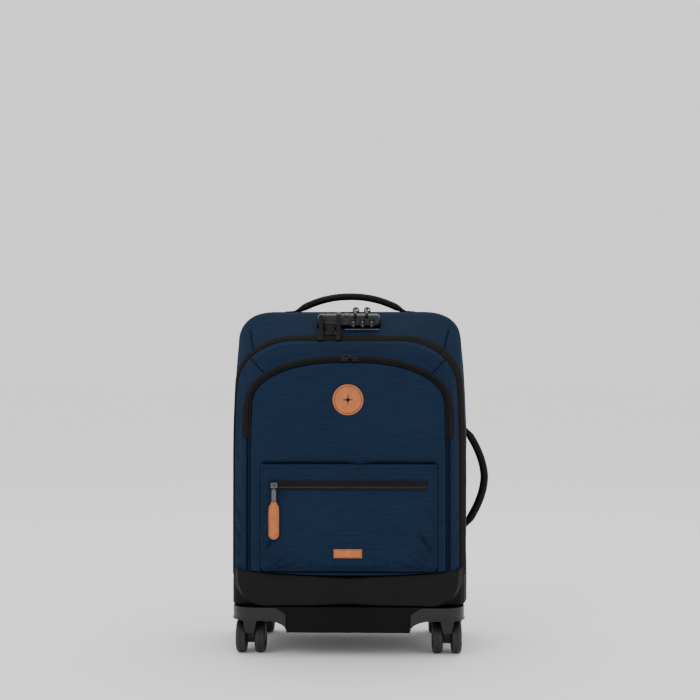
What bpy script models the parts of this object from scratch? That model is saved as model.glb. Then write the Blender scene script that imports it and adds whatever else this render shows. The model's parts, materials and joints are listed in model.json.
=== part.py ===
"""Soft-sided cabin suitcase on four twin-wheel casters, built as an assembly of separate pieces.

Metres, +Z up, the front of the case faces -Y. The origin is on the floor under the middle of the
whole object's box; the case's own centre line stands at CASE_X, CASE_Y, because the side handle
widens the box on the right only.
"""

import math

import bmesh
import bpy
from mathutils import Matrix, Vector

MM = 0.001
GAP = 0.3 * MM  # between pieces that are sewn, pressed or screwed together

# ---------------------------------------------------------------- driving dimensions
OVERALL_HEIGHT = 550 * MM
CASE_X = -19.35 * MM
CASE_Y = 12.05 * MM

BODY_HALF = 179 * MM
BODY_TAPER = 8 * MM
BODY_LOW = 76 * MM
BODY_TOP = 518 * MM
BODY_CORNER = (58 * MM, 42 * MM)
BODY_BACK = 107 * MM
WALL = 4 * MM

ZIP_MIDDLE = -24 * MM
ZIP_HALF = 5.7 * MM
ZIP_SLIT = 1.6 * MM
TAPE = 1.6 * MM

FRONT_SEAM = -86 * MM
FRONT_FACE = -108 * MM
PANEL_FACE = -115 * MM
POCKET_FACE = -123 * MM
GUARD_TOP = 122.5 * MM

BASE_LOW = 38 * MM
BASE_TOP = 75 * MM
BASE_SIDE = 174 * MM
BASE_FRONT = -111 * MM
BASE_BACK = 106 * MM
BASE_SPINE = 92 * MM
BASE_WAIST = 26 * MM
SKIN = 3 * MM

CASTER_X = 148.2 * MM
CASTER_FRONT_Y = -78 * MM
CASTER_REAR_Y = 70 * MM
CASTER_TRAIL = 11 * MM
WHEEL_RADIUS = 25 * MM
WHEEL_INNER = 6.5 * MM
WHEEL_OUTER = 22.1 * MM
AXLE_RADIUS = 2.85 * MM
WEB_HALF = 6 * MM
SWIVEL_DISC = (53.6 * MM, 56.4 * MM)
STEM_RADIUS = 5.2 * MM

TUBE_X = 62 * MM
TUBE_Y = 84 * MM
OUTER_TUBE = (28 * MM, 15 * MM)
MID_TUBE = (25 * MM, 12 * MM)
INNER_TUBE = (22 * MM, 9 * MM)
TUBE_WALL = 1.2 * MM
WELL_FLOOR = (482 * MM, 484.5 * MM)

LOCK_CENTRE = (-66 * MM, 502.5 * MM)
LOCK_RADIUS = 12 * MM
LOCK_HALF = 47.5 * MM
DIAL_CENTRE = (-71.5 * MM, 498.5 * MM)
DIAL_RADIUS = 8.2 * MM
DIAL_SLOT_RADIUS = 8.8 * MM
DIAL_PLACES = (7 * MM, 21 * MM, 35 * MM)
SPINDLE_RADIUS = 1.9 * MM
KEY_X = -3 * MM
KEY_TILT = math.radians(62)
BUTTON_X = -15 * MM
BUTTON_TILT = math.radians(75)

CORNER_STEPS = 8
INNER_TRACK_RADIUS = 400 * MM


# ---------------------------------------------------------------- materials and objects
def material(name, colour, roughness, metallic=0.0):
    made = bpy.data.materials.new(name)
    made.use_nodes = True
    shader = made.node_tree.nodes["Principled BSDF"]
    shader.inputs["Base Color"].default_value = (*colour, 1.0)
    shader.inputs["Roughness"].default_value = roughness
    shader.inputs["Metallic"].default_value = metallic
    made.diffuse_color = (*colour, 1.0)
    return made


def make_materials():
    return {
        "navy": material("navy_polyester", (0.012, 0.030, 0.060), 0.85),
        "black_fabric": material("black_coated_fabric", (0.012, 0.012, 0.013), 0.6),
        "tape": material("black_zip_tape", (0.010, 0.010, 0.010), 0.7),
        "webbing": material("black_webbing", (0.008, 0.008, 0.009), 0.75),
        "plastic": material("charcoal_plastic", (0.030, 0.031, 0.034), 0.45),
        "wheel": material("black_wheel_rubber", (0.022, 0.022, 0.024), 0.6),
        "steel": material("axle_steel", (0.55, 0.55, 0.56), 0.3, 1.0),
        "tube": material("anodised_tube", (0.10, 0.10, 0.11), 0.35, 1.0),
        "gunmetal": material("gunmetal", (0.06, 0.06, 0.065), 0.3, 1.0),
        "leather": material("tan_leather", (0.58, 0.23, 0.085), 0.6),
    }


def add_object(name, bm, finish, origin=(0.0, 0.0, 0.0), sharp_deg=35.0):
    """Stores a bmesh as a named object whose origin, in the case's own frame, is given."""
    bmesh.ops.recalc_face_normals(bm, faces=bm.faces)
    mesh = bpy.data.meshes.new(name)
    bm.to_mesh(mesh)
    bm.free()
    mesh.transform(Matrix.Translation(-Vector(origin)))
    mesh.shade_smooth()
    mesh.set_sharp_from_angle(angle=math.radians(sharp_deg))
    mesh.materials.append(finish)
    obj = bpy.data.objects.new(name, mesh)
    bpy.context.scene.collection.objects.link(obj)
    obj.location = Vector(origin) + Vector((CASE_X, CASE_Y, 0.0))
    return obj


def combine(bm, other, operation):
    """A Boolean of two bmeshes, in the same frame, as a new bmesh."""
    objects = []
    for part in (bm, other):
        bmesh.ops.recalc_face_normals(part, faces=part.faces)
        mesh = bpy.data.meshes.new("operand")
        part.to_mesh(mesh)
        part.free()
        objects.append(bpy.data.objects.new("operand", mesh))
        bpy.context.scene.collection.objects.link(objects[-1])
    target, tool = objects
    modifier = target.modifiers.new("combine", "BOOLEAN")
    modifier.operation = operation
    modifier.solver = "EXACT"
    modifier.object = tool
    bpy.context.view_layer.update()
    result = bmesh.new()
    result.from_object(target, bpy.context.evaluated_depsgraph_get())
    for obj in objects:
        mesh = obj.data
        bpy.data.objects.remove(obj)
        bpy.data.meshes.remove(mesh)
    return result


def fuse(first, *others):
    for other in others:
        first = combine(first, other, "UNION")
    return first


def carve(block, *cutters):
    for cutter in cutters:
        block = combine(block, cutter, "DIFFERENCE")
    return block


# ---------------------------------------------------------------- shapes
def wire(bm, points):
    """The edges of a chain of points."""
    verts = [bm.verts.new(point) for point in points]
    return [bm.edges.new(pair) for pair in zip(verts, verts[1:])]


def skin(chains, closed=True, wrap=False):
    """A solid through chains of points. wrap joins the last chain to the first, as in a hoop."""
    bm = bmesh.new()
    rows = [[bm.verts.new(point) for point in chain] for chain in chains]
    pairs = list(zip(rows, rows[1:]))
    if wrap:
        pairs.append((rows[-1], rows[0]))
    count = len(rows[0])
    for row, next_row in pairs:
        for index in range(count if closed else count - 1):
            after = (index + 1) % count
            bm.faces.new((row[index], row[after], next_row[after], next_row[index]))
    if closed and not wrap:
        bm.faces.new(rows[0])
        bm.faces.new(rows[-1])
    if wrap and not closed:
        bm.faces.new([row[0] for row in rows])
        bm.faces.new([row[-1] for row in rows])
    bmesh.ops.recalc_face_normals(bm, faces=bm.faces)
    return bm


def box(low, high):
    bm = bmesh.new()
    size = Vector(high) - Vector(low)
    middle = (Vector(high) + Vector(low)) / 2
    bmesh.ops.create_cube(bm, size=1.0, matrix=Matrix.Translation(middle) @ Matrix.Diagonal((*size, 1.0)))
    return bm


def soft_box(low, high, radius, segments=2):
    """A box with all its edges rounded."""
    bm = box(low, high)
    bmesh.ops.bevel(
        bm, geom=bm.edges[:], offset=radius, segments=segments, profile=0.5, affect="EDGES", material=-1
    )
    return bm


def prism(outline, axis, start, end):
    """An outline of pairs extruded along X, Y or Z. The pairs are the other two axes, in order."""
    place = {
        "X": lambda a, b, c: (c, a, b),
        "Y": lambda a, b, c: (a, c, b),
        "Z": lambda a, b, c: (a, b, c),
    }[axis]
    return skin([[place(a, b, c) for a, b in outline] for c in (start, end)])


def rod(radius, start, end, segments=20):
    """A straight round bar between two points."""
    start, end = Vector(start), Vector(end)
    bm = bmesh.new()
    turn = (end - start).to_track_quat("Z", "Y").to_matrix().to_4x4()
    bmesh.ops.create_cone(
        bm,
        cap_ends=True,
        segments=segments,
        radius1=radius,
        radius2=radius,
        depth=(end - start).length,
        matrix=Matrix.Translation((start + end) / 2) @ turn,
    )
    return bm


def lathe_x(profile, centre, segments=24):
    """Pairs (x, radius) spun round an axis along X through centre; the ends may lie on the axis."""
    bm = bmesh.new()
    x0, y0, z0 = centre
    edges = wire(bm, [(x0 + x, y0, z0 - r) for x, r in profile])
    bmesh.ops.spin(
        bm,
        geom=bm.verts[:] + edges,
        cent=centre,
        axis=(1.0, 0.0, 0.0),
        angle=math.tau,
        steps=segments,
        use_merge=True,
    )
    bmesh.ops.remove_doubles(bm, verts=bm.verts, dist=0.01 * MM)
    bmesh.ops.recalc_face_normals(bm, faces=bm.faces)
    return bm


def rounded_rectangle(half_a, half_b, radius, steps=2):
    points = []
    for sign_a, sign_b, start in ((1, 1, 0), (-1, 1, 90), (-1, -1, 180), (1, -1, 270)):
        for step in range(steps + 1):
            angle = math.radians(start + 90 * step / steps)
            points.append(
                (
                    sign_a * (half_a - radius) + radius * math.cos(angle),
                    sign_b * (half_b - radius) + radius * math.sin(angle),
                )
            )
    return points


def arch(half, low, top, corner, taper=0.0, squareness=2.3):
    """Pairs (x, z) from the left foot over the rounded top to the right foot."""
    shoulder = top - corner[1]
    right = []
    for share in (0.0, 0.6, 0.78, 0.9):
        ease = max(0.0, (share - 0.6) / 0.4)
        right.append((half - taper * ease * ease, low + share * (shoulder - low)))
    for step in range(CORNER_STEPS + 1):
        angle = math.pi / 2 * step / CORNER_STEPS
        across = max(math.cos(angle), 0.0) ** (2 / squareness)
        up = math.sin(angle) ** (2 / squareness)
        right.append((half - taper - corner[0] * (1 - across), shoulder + corner[1] * up))
    return [(-x, z) for x, z in right] + right[::-1]


def at_depth(pairs, y):
    return [(x, y, z) for x, z in pairs]


def body_arch(inset=0.0, low=BODY_LOW, top=BODY_TOP):
    """The outline of the main body in front view, drawn in by inset."""
    corner = (BODY_CORNER[0] - inset / 2, BODY_CORNER[1] - inset / 2)
    return arch(BODY_HALF - inset, low, top - inset, corner, BODY_TAPER)


def seam_arch(inset=0.0, low=BODY_LOW):
    """The outline where the front compartment's zip runs."""
    corner = (92 * MM - inset / 2, 75 * MM - inset / 2)
    return arch(173 * MM - inset, low, 479.5 * MM - inset, corner, 3 * MM, 2.05)


def panel_arch(inset=0.0, low=GUARD_TOP + GAP):
    """The outline of the front panel, inside the arched pocket zip."""
    corner = (146 * MM - inset, 68 * MM - inset / 2)
    return arch(155 * MM - inset, low, 449.5 * MM - inset, corner, 2 * MM, 2.15)


# ---------------------------------------------------------------- case, fixed pieces
def make_bottom_panel(finish):
    """The plus-shaped floor tray between the four wheel housings."""

    def plus(inset):
        side, waist, spine = BASE_SIDE - inset, BASE_WAIST - inset, BASE_SPINE - inset
        front, back = BASE_FRONT + inset, BASE_BACK - inset
        return [
            (-spine, front), (spine, front), (spine, -waist), (side, -waist), (side, waist), (spine, waist),
            (spine, back), (-spine, back), (-spine, waist), (-side, waist), (-side, -waist), (-spine, -waist),
        ]  # fmt: skip

    block = prism(plus(0.0), "Z", BASE_LOW, BASE_TOP)
    hollow = prism(plus(SKIN), "Z", BASE_LOW + SKIN, BASE_TOP + SKIN)
    return add_object("bottom_panel", carve(block, hollow), finish)


def make_housing(name, side, end, caster_y, finish):
    """One moulded corner: a top plate with a skirt, arched towards the middle, and a swivel boss."""
    near, far = BASE_SPINE + 0.5 * MM, BASE_SIDE
    waist = BASE_WAIST + 0.5 * MM
    tip = -BASE_FRONT if end < 0 else BASE_BACK
    plate_low, lip, leg = 69 * MM, 55.5 * MM, 41 * MM

    def plan(inset):
        radius = 30 * MM - inset
        corner = [
            (
                far - inset - radius * (1 - math.sin(angle)),
                tip - inset - radius * (1 - math.cos(angle)),
            )
            for angle in (math.radians(15 * step) for step in range(7))
        ]
        pairs = [(near + inset, waist + inset), (near + inset, tip - inset), *corner, (far - inset, waist + inset)]
        return [(side * x, end * y) for x, y in pairs]

    block = prism(plan(0.0), "Z", leg, BASE_TOP)
    hollow = prism(plan(SKIN), "Z", leg - SKIN, plate_low)
    sweep = [
        (near + 33 * MM * (1 - math.cos(angle)), leg + (lip - leg) * math.sin(angle))
        for angle in (math.radians(18 * step) for step in range(6))
    ]
    below = [*sweep, (far + SKIN, lip), (far + SKIN, leg - SKIN), (near, leg - SKIN)]
    opening = prism([(side * x, z) for x, z in below], "Y", end * (waist - SKIN), end * (tip + SKIN))
    shell = carve(block, hollow, opening)
    centre = Vector((side * CASTER_X, caster_y, 0.0))
    boss_low = SWIVEL_DISC[1] + 0.5 * MM
    boss = rod(17 * MM, centre + Vector((0, 0, boss_low)), centre + Vector((0, 0, plate_low + MM)), 24)
    bore = rod(STEM_RADIUS + GAP, centre + Vector((0, 0, boss_low - MM)), centre + Vector((0, 0, 66.5 * MM)), 20)
    return add_object(name, carve(fuse(shell, boss), bore), finish)


def make_rear_gusset(finish):
    """The stiffened wall round the rear half, with a cut for the handle's well in its top."""
    stations = ((ZIP_MIDDLE + ZIP_HALF + GAP, 0.0), (92 * MM, 0.0), (99 * MM, 2 * MM), (BODY_BACK - WALL, 6 * MM))
    outer = [at_depth(body_arch(inset), y) for y, inset in stations]
    inner = [at_depth(body_arch(inset + WALL, low=BODY_LOW + WALL), y) for y, inset in stations]
    hoop = skin(outer + inner[::-1], wrap=True)
    well = box((-79.5 * MM, 47.5 * MM, 500 * MM), (79.5 * MM, 98.8 * MM, 530 * MM))
    return add_object("rear_gusset", carve(hoop, well), finish)


def make_back_panel(finish):
    stations = ((BODY_BACK - WALL + GAP, 6 * MM), (BODY_BACK - MM, 7 * MM), (BODY_BACK, 9 * MM))
    return add_object("back_panel", skin([at_depth(body_arch(inset), y) for y, inset in stations]), finish)


def make_tape_hoop(name, y_low, y_high, finish):
    """One half of the main zip, an arch of tape set just under the body's surface."""
    low = BODY_LOW + 5 * MM
    sunk = 0.5 * MM
    chains = [
        at_depth(body_arch(sunk, low), y_low),
        at_depth(body_arch(sunk, low), y_high),
        at_depth(body_arch(sunk + TAPE, low), y_high),
        at_depth(body_arch(sunk + TAPE, low), y_low),
    ]
    return add_object(name, skin(chains, closed=False, wrap=True), finish)


def sweep_strap(line, half_width, half_thickness):
    """A flat strap of eight-sided section along a line of (point, outward normal) pairs."""
    across = Vector((0.0, 1.0, 0.0))
    bevel = 0.55
    section = [
        (1.0, bevel), (bevel + 0.2, 1.0), (-bevel - 0.2, 1.0), (-1.0, bevel),
        (-1.0, -bevel), (-bevel - 0.2, -1.0), (bevel + 0.2, -1.0), (1.0, -bevel),
    ]  # fmt: skip
    chains = [
        [point + across * (half_width * a) + normal * (half_thickness * b) for a, b in section]
        for point, normal in line
    ]
    return skin(chains)


def handle_line(half_length, rise, foot, power, steps=14):
    """(along, out, normal) of a raised handle: a power arch between two flat feet."""
    line = [(-half_length - foot, 0.0)]
    for step in range(steps + 1):
        along = half_length * (2 * step / steps - 1)
        line.append((along, rise * (1 - abs(along / half_length) ** power)))
    line.append((half_length + foot, 0.0))
    out = []
    for index, (along, up) in enumerate(line):
        before, after = line[max(index - 1, 0)], line[min(index + 1, len(line) - 1)]
        slope = Vector((after[0] - before[0], after[1] - before[1])).normalized()
        out.append((along, up, Vector((-slope.y, slope.x))))
    return out


def make_top_handle(finish):
    half_thickness = 4.6 * MM
    base = BODY_TOP + half_thickness + GAP
    rise = OVERALL_HEIGHT - half_thickness - base
    line = [
        (Vector((along, 24 * MM, base + up)), Vector((normal.x, 0.0, normal.y)))
        for along, up, normal in handle_line(88 * MM, rise, 16 * MM, 2.3)
    ]
    return add_object("top_handle", sweep_strap(line, 14 * MM, half_thickness), finish)


def make_side_handle(finish):
    half_thickness = 5.2 * MM
    base = BODY_HALF + half_thickness + GAP
    middle = 256 * MM
    line = [
        (Vector((base + up, 32 * MM, middle - along)), Vector((normal.y, 0.0, -normal.x)))
        for along, up, normal in handle_line(76 * MM, 28 * MM, 14 * MM, 1.7)
    ]
    return add_object("side_handle", sweep_strap(line, 12 * MM, half_thickness), finish)


# ---------------------------------------------------------------- telescopic handle
def tube(size, x, z_low, z_high):
    outer = rounded_rectangle(size[0] / 2, size[1] / 2, 3 * MM)
    inner = rounded_rectangle(size[0] / 2 - TUBE_WALL, size[1] / 2 - TUBE_WALL, 2 * MM)
    chains = [
        [(x + a, TUBE_Y + b, z) for a, b in ring]
        for ring, z in ((outer, z_low), (outer, z_high), (inner, z_high), (inner, z_low))
    ]
    return skin(chains, wrap=True)


def make_outer_tubes(finish):
    """Both fixed tubes with the foot bracket that is riveted across their lower ends."""
    low = BODY_LOW + WALL + GAP
    foot = box((-82 * MM, TUBE_Y - 12 * MM, low), (82 * MM, TUBE_Y + 12 * MM, low + 5 * MM))
    tubes = [tube(OUTER_TUBE, side * TUBE_X, low + 2 * MM, WELL_FLOOR[0] - GAP) for side in (-1, 1)]
    return add_object("outer_tube_frame", fuse(foot, *tubes), finish)


def make_bezel(finish):
    """The well that the grip drops into, hung in the top of the case by its rim."""
    rim = soft_box((-86 * MM, 43.5 * MM, BODY_TOP + GAP), (86 * MM, 102.5 * MM, BODY_TOP + 2.8 * MM), 0.9 * MM, 1)
    well = box((-79 * MM, 48 * MM, WELL_FLOOR[0]), (79 * MM, 98.3 * MM, BODY_TOP + 1.5 * MM))
    inside = box((-76.8 * MM, 50.2 * MM, WELL_FLOOR[1]), (76.8 * MM, 96.6 * MM, BODY_TOP + 9 * MM))
    block = carve(fuse(rim, well), inside)
    half_x, half_y = MID_TUBE[0] / 2 + 0.4 * MM, MID_TUBE[1] / 2 + 0.4 * MM
    for side in (-1, 1):
        hole = prism(
            [(side * TUBE_X + a, TUBE_Y + b) for a, b in rounded_rectangle(half_x, half_y, 3 * MM)],
            "Z",
            WELL_FLOOR[0] - MM,
            WELL_FLOOR[1] + MM,
        )
        block = carve(block, hole)
    return add_object("trolley_bezel", block, finish)


def make_grip(finish):
    """The hand bar, with a socket at each end for an inner tube and a pocket for the push button."""
    bar = soft_box((-73 * MM, 72.5 * MM, 503 * MM), (73 * MM, 95.5 * MM, 522.5 * MM), 4 * MM)
    block = bar
    for side in (-1, 1):
        x = side * TUBE_X
        sleeve = box((x - 13.5 * MM, TUBE_Y - 7 * MM, 491 * MM), (x + 13.5 * MM, TUBE_Y + 7 * MM, 506 * MM))
        block = fuse(block, sleeve)
    for side in (-1, 1):
        x = side * TUBE_X
        half_x, half_y = INNER_TUBE[0] / 2 + GAP, INNER_TUBE[1] / 2 + GAP
        socket = box((x - half_x, TUBE_Y - half_y, 489 * MM), (x + half_x, TUBE_Y + half_y, 512 * MM))
        block = carve(block, socket)
    pocket = box((-19 * MM, 78 * MM, 515 * MM), (19 * MM, 90 * MM, 530 * MM))
    return add_object("grip", carve(block, pocket), finish)


def make_trolley(finishes):
    make_outer_tubes(finishes["tube"])
    make_bezel(finishes["plastic"])
    for side, word in ((-1, "left"), (1, "right")):
        x = side * TUBE_X
        origin = (x, TUBE_Y, WELL_FLOOR[1])
        add_object(f"mid_tube_{word}", tube(MID_TUBE, x, 92 * MM, 488 * MM), finishes["tube"], origin)
        add_object(f"inner_tube_{word}", tube(INNER_TUBE, x, 96 * MM, 511.5 * MM), finishes["tube"], origin)
    make_grip(finishes["plastic"])
    button = soft_box((-18.4 * MM, 78.6 * MM, 518.3 * MM), (18.4 * MM, 89.4 * MM, 523.9 * MM), 1.5 * MM)
    add_object("grip_button", button, finishes["plastic"], (0.0, TUBE_Y, 523.9 * MM))


# ---------------------------------------------------------------- casters
def make_fork(name, x, y, finish):
    """The swivelling caster body: stem, swivel disc and the web that carries the axle."""
    hub = Vector((CASTER_TRAIL, WHEEL_RADIUS))
    boss = [
        (hub.x + 10.5 * MM * math.cos(angle), hub.y + 10.5 * MM * math.sin(angle))
        for angle in (math.radians(-150 + 20 * step) for step in range(9))
    ]
    side_view = [*boss, (15 * MM, 54.5 * MM), (-15 * MM, 54.5 * MM), (-15.4 * MM, 35 * MM)]
    web = prism([(y + a, b) for a, b in side_view], "X", x - WEB_HALF, x + WEB_HALF)
    cheek_steps = (
        (34 * MM, 6.2 * MM, -15.8 * MM, -13.9 * MM),
        (42 * MM, 8.3 * MM, -16.2 * MM, -8.6 * MM),
        (54.5 * MM, 10.8 * MM, -16.2 * MM, -3 * MM),
    )
    cheek = skin(
        [
            [(x - half, y + front, z), (x + half, y + front, z), (x + half, y + back, z), (x - half, y + back, z)]
            for z, half, front, back in cheek_steps
        ]
    )
    disc = rod(16.5 * MM, (x, y, SWIVEL_DISC[0]), (x, y, SWIVEL_DISC[1]), 24)
    stem = rod(STEM_RADIUS, (x, y, SWIVEL_DISC[0] + MM), (x, y, 65 * MM), 20)
    bore_centre = (y + hub.x, hub.y)
    bore = rod(AXLE_RADIUS + GAP, (x - 9 * MM, *bore_centre), (x + 9 * MM, *bore_centre), 16)
    return add_object(name, carve(fuse(web, cheek, disc, stem), bore), finish, (x, y, SWIVEL_DISC[1]))


def make_wheel(name, x, y, side, finish):
    """A wheel with a crowned tread, a dished outer face and a blind bore on its inner side."""
    bore = AXLE_RADIUS + GAP
    profile = (
        (WHEEL_OUTER - 3.6 * MM, 0.0),
        (WHEEL_OUTER - 3.6 * MM, bore),
        (WHEEL_INNER, bore),
        (WHEEL_INNER, 21.4 * MM),
        (WHEEL_INNER + 2.2 * MM, 24.4 * MM),
        (WHEEL_INNER + 5.2 * MM, WHEEL_RADIUS),
        (WHEEL_OUTER - 5.2 * MM, WHEEL_RADIUS),
        (WHEEL_OUTER - 2.2 * MM, 24.4 * MM),
        (WHEEL_OUTER, 21.4 * MM),
        (WHEEL_OUTER - 1.8 * MM, 16 * MM),
        (WHEEL_OUTER - 1.8 * MM, 0.0),
    )
    centre = (x, y + CASTER_TRAIL, WHEEL_RADIUS)
    mesh = lathe_x([(side * across, radius) for across, radius in profile], centre)
    return add_object(name, mesh, finish, centre)


def make_casters(finishes):
    corners = (
        ("front_left", -1, -1, CASTER_FRONT_Y),
        ("front_right", 1, -1, CASTER_FRONT_Y),
        ("rear_left", -1, 1, CASTER_REAR_Y),
        ("rear_right", 1, 1, CASTER_REAR_Y),
    )
    for word, side, end, y in corners:
        x = side * CASTER_X
        make_housing(f"wheel_housing_{word}", side, end, y, finishes["plastic"])
        make_fork(f"caster_fork_{word}", x, y, finishes["plastic"])
        axle_y, reach = y + CASTER_TRAIL, WHEEL_OUTER - 4.2 * MM
        axle = rod(AXLE_RADIUS, (x - reach, axle_y, WHEEL_RADIUS), (x + reach, axle_y, WHEEL_RADIUS), 16)
        add_object(f"caster_axle_{word}", axle, finishes["steel"], (x, axle_y, WHEEL_RADIUS))
        for wheel_side, wheel_word in ((-1, "a"), (1, "b")):
            make_wheel(f"wheel_{word}_{wheel_word}", x, y, wheel_side, finishes["wheel"])


# ---------------------------------------------------------------- lid, soft pieces
def make_lid_gusset(finish):
    """The wall of the lid, which slopes in at the front to the compartment's zip, cut for the lock."""
    back = ZIP_MIDDLE - ZIP_HALF - GAP
    share_steps = ((0.0, back), (0.06, -44 * MM), (0.55, -66 * MM), (1.0, FRONT_SEAM))

    def blend(share, y, inset, low):
        body, seam = body_arch(inset, low), seam_arch(inset, low)
        pairs = [(a[0] + (b[0] - a[0]) * share, a[1] + (b[1] - a[1]) * share) for a, b in zip(body, seam)]
        return at_depth(pairs, y)

    outer = [blend(share, y, 0.0, BODY_LOW) for share, y in share_steps]
    inner = [blend(share, y, 3.5 * MM, BODY_LOW + 3.5 * MM) for share, y in share_steps]
    hoop = skin(outer + inner[::-1], wrap=True)
    reach = LOCK_HALF + 0.4 * MM
    window = rod(LOCK_RADIUS + 0.4 * MM, (-reach, *LOCK_CENTRE), (reach, *LOCK_CENTRE), 24)
    dial_reach = (DIAL_PLACES[0] - 4.6 * MM, DIAL_PLACES[-1] + 4.6 * MM)
    dial_window = rod(DIAL_RADIUS + MM, (dial_reach[0], *DIAL_CENTRE), (dial_reach[1], *DIAL_CENTRE), 24)
    return add_object("lid_gusset", carve(hoop, window, dial_window), finish)


def make_front_compartment(finish):
    """The padded front compartment, closed, from its back wall to the face round the front panel."""
    low = GUARD_TOP + GAP
    stations = (
        (FRONT_SEAM + 2 * MM, seam_arch(7.5 * MM, low)),
        (FRONT_SEAM - 6.5 * MM, seam_arch(7.5 * MM, low)),
        (FRONT_SEAM - 12 * MM, seam_arch(12 * MM, low)),
        (FRONT_FACE + 3 * MM, panel_arch(-3 * MM, low)),
        (FRONT_FACE, panel_arch(0.0, low)),
    )
    return add_object("front_compartment", skin([at_depth(pairs, y) for y, pairs in stations]), finish)


def make_outer_zip(finish):
    """The front compartment's zip: a sloping arch of tape from foot to foot."""
    low = BODY_LOW + 5 * MM
    chains = [
        at_depth(seam_arch(0.0, low), FRONT_SEAM - GAP),
        at_depth(seam_arch(6.9 * MM, low), FRONT_SEAM - 6.6 * MM),
        at_depth(seam_arch(6.9 * MM, low), FRONT_SEAM - 4.6 * MM),
        at_depth(seam_arch(2.5 * MM, low), FRONT_SEAM - GAP),
    ]
    return add_object("outer_zip", skin(chains, closed=False, wrap=True), finish)


def make_inner_zip(finish):
    """The front pocket's zip: an arch of tape whose legs stop half-way down."""
    low, back, front = 328.5 * MM, FRONT_FACE - GAP, FRONT_FACE - 3.2 * MM
    chains = [
        at_depth(panel_arch(0.5 * MM, low), back),
        at_depth(panel_arch(0.5 * MM, low), front),
        at_depth(panel_arch(8.7 * MM, low), front),
        at_depth(panel_arch(8.7 * MM, low), back),
    ]
    return add_object("inner_zip", skin(chains, closed=False, wrap=True), finish)


def make_inner_pocket(finish):
    back = FRONT_FACE - GAP
    stations = ((back, 9.0 * MM), (PANEL_FACE + 2 * MM, 9.0 * MM), (PANEL_FACE, 11.5 * MM))
    return add_object("front_panel", skin([at_depth(panel_arch(inset), y) for y, inset in stations]), finish)


def make_patch_pocket(finish):
    low, high = 133.5 * MM, 291 * MM
    middle, half_x, half_z = (low + high) / 2, 130.6 * MM, (high - low) / 2

    def outline(inset, y):
        pairs = rounded_rectangle(half_x - inset, half_z - inset, 6 * MM)
        return [(x, y, middle + z) for x, z in pairs]

    chains = [
        outline(0.0, PANEL_FACE - GAP),
        outline(0.5 * MM, POCKET_FACE + 3 * MM),
        outline(3.5 * MM, POCKET_FACE),
    ]
    return add_object("patch_pocket", skin(chains), finish)


def make_bottom_guard(finish):
    """The black coated panel across the lower front, with rounded lower corners."""
    low, high, half = BODY_LOW + MM, GUARD_TOP, 169 * MM

    def outline(inset, y):
        radius = 28 * MM - inset
        right = [
            (
                half - inset - radius * (1 - math.cos(angle)),
                low + inset + radius * (1 - math.sin(angle)),
            )
            for angle in (math.radians(90 - 15 * step) for step in range(7))
        ]
        pairs = [*right, (half - inset, high)]
        pairs = pairs + [(-x, z) for x, z in pairs[::-1]]
        return at_depth(pairs, y)

    stations = ((FRONT_SEAM - 7 * MM, 0.0), (FRONT_FACE + 6 * MM, 1.5 * MM), (FRONT_FACE - 2 * MM, 8 * MM))
    front = skin([outline(inset, y) for y, inset in stations])
    back_half = 163 * MM
    back = box((-back_half, FRONT_SEAM - 7.5 * MM, low), (back_half, FRONT_SEAM - GAP, high))
    return add_object("bottom_guard", fuse(front, back), finish)


def make_labels(finish):
    badge_low = (0.0, PANEL_FACE - GAP, 384.5 * MM)
    badge = rod(23 * MM, badge_low, (0.0, PANEL_FACE - 2 * MM, badge_low[2]), 32)
    add_object("round_badge", badge, finish)
    tag = box((-21 * MM, POCKET_FACE - 1.9 * MM, 151.3 * MM), (21 * MM, POCKET_FACE - GAP, 164.3 * MM))
    add_object("name_tag", tag, finish)


# ---------------------------------------------------------------- zip sliders
def make_main_slider(name, x, finish):
    """A slider astride the main zip with its pull bent forward over the lock."""
    y, top = ZIP_MIDDLE, BODY_TOP
    upper = box((x - 4 * MM, y - 4.8 * MM, top + 0.2 * MM), (x + 4 * MM, y + 4.8 * MM, top + 2.8 * MM))
    neck = box((x - 1.5 * MM, y - 0.5 * MM, top - 5 * MM), (x + 1.5 * MM, y + 0.5 * MM, top + MM))
    lower = box((x - 4 * MM, y - 4.8 * MM, top - 5.6 * MM), (x + 4 * MM, y + 4.8 * MM, top - 3.2 * MM))
    bridge = box((x - 1.2 * MM, y - 3.6 * MM, top + 2 * MM), (x + 1.2 * MM, y + 3.6 * MM, top + 6.4 * MM))
    pull_line = ((y, top + 5.2 * MM), (-50 * MM, 521 * MM), (-66 * MM, 519.4 * MM), (-79 * MM, 513.6 * MM), (-80.8 * MM, 510 * MM))
    thick = 0.7 * MM
    lower_edge = [(a, b - thick) for a, b in pull_line]
    upper_edge = [(a - 0.6 * thick, b + thick) for a, b in pull_line]
    pull = prism(lower_edge + upper_edge[::-1], "X", x - 2.2 * MM, x + 2.2 * MM)
    solid = fuse(upper, neck, lower, bridge, pull)
    return add_object(name, solid, finish, (x, y, top))


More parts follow.
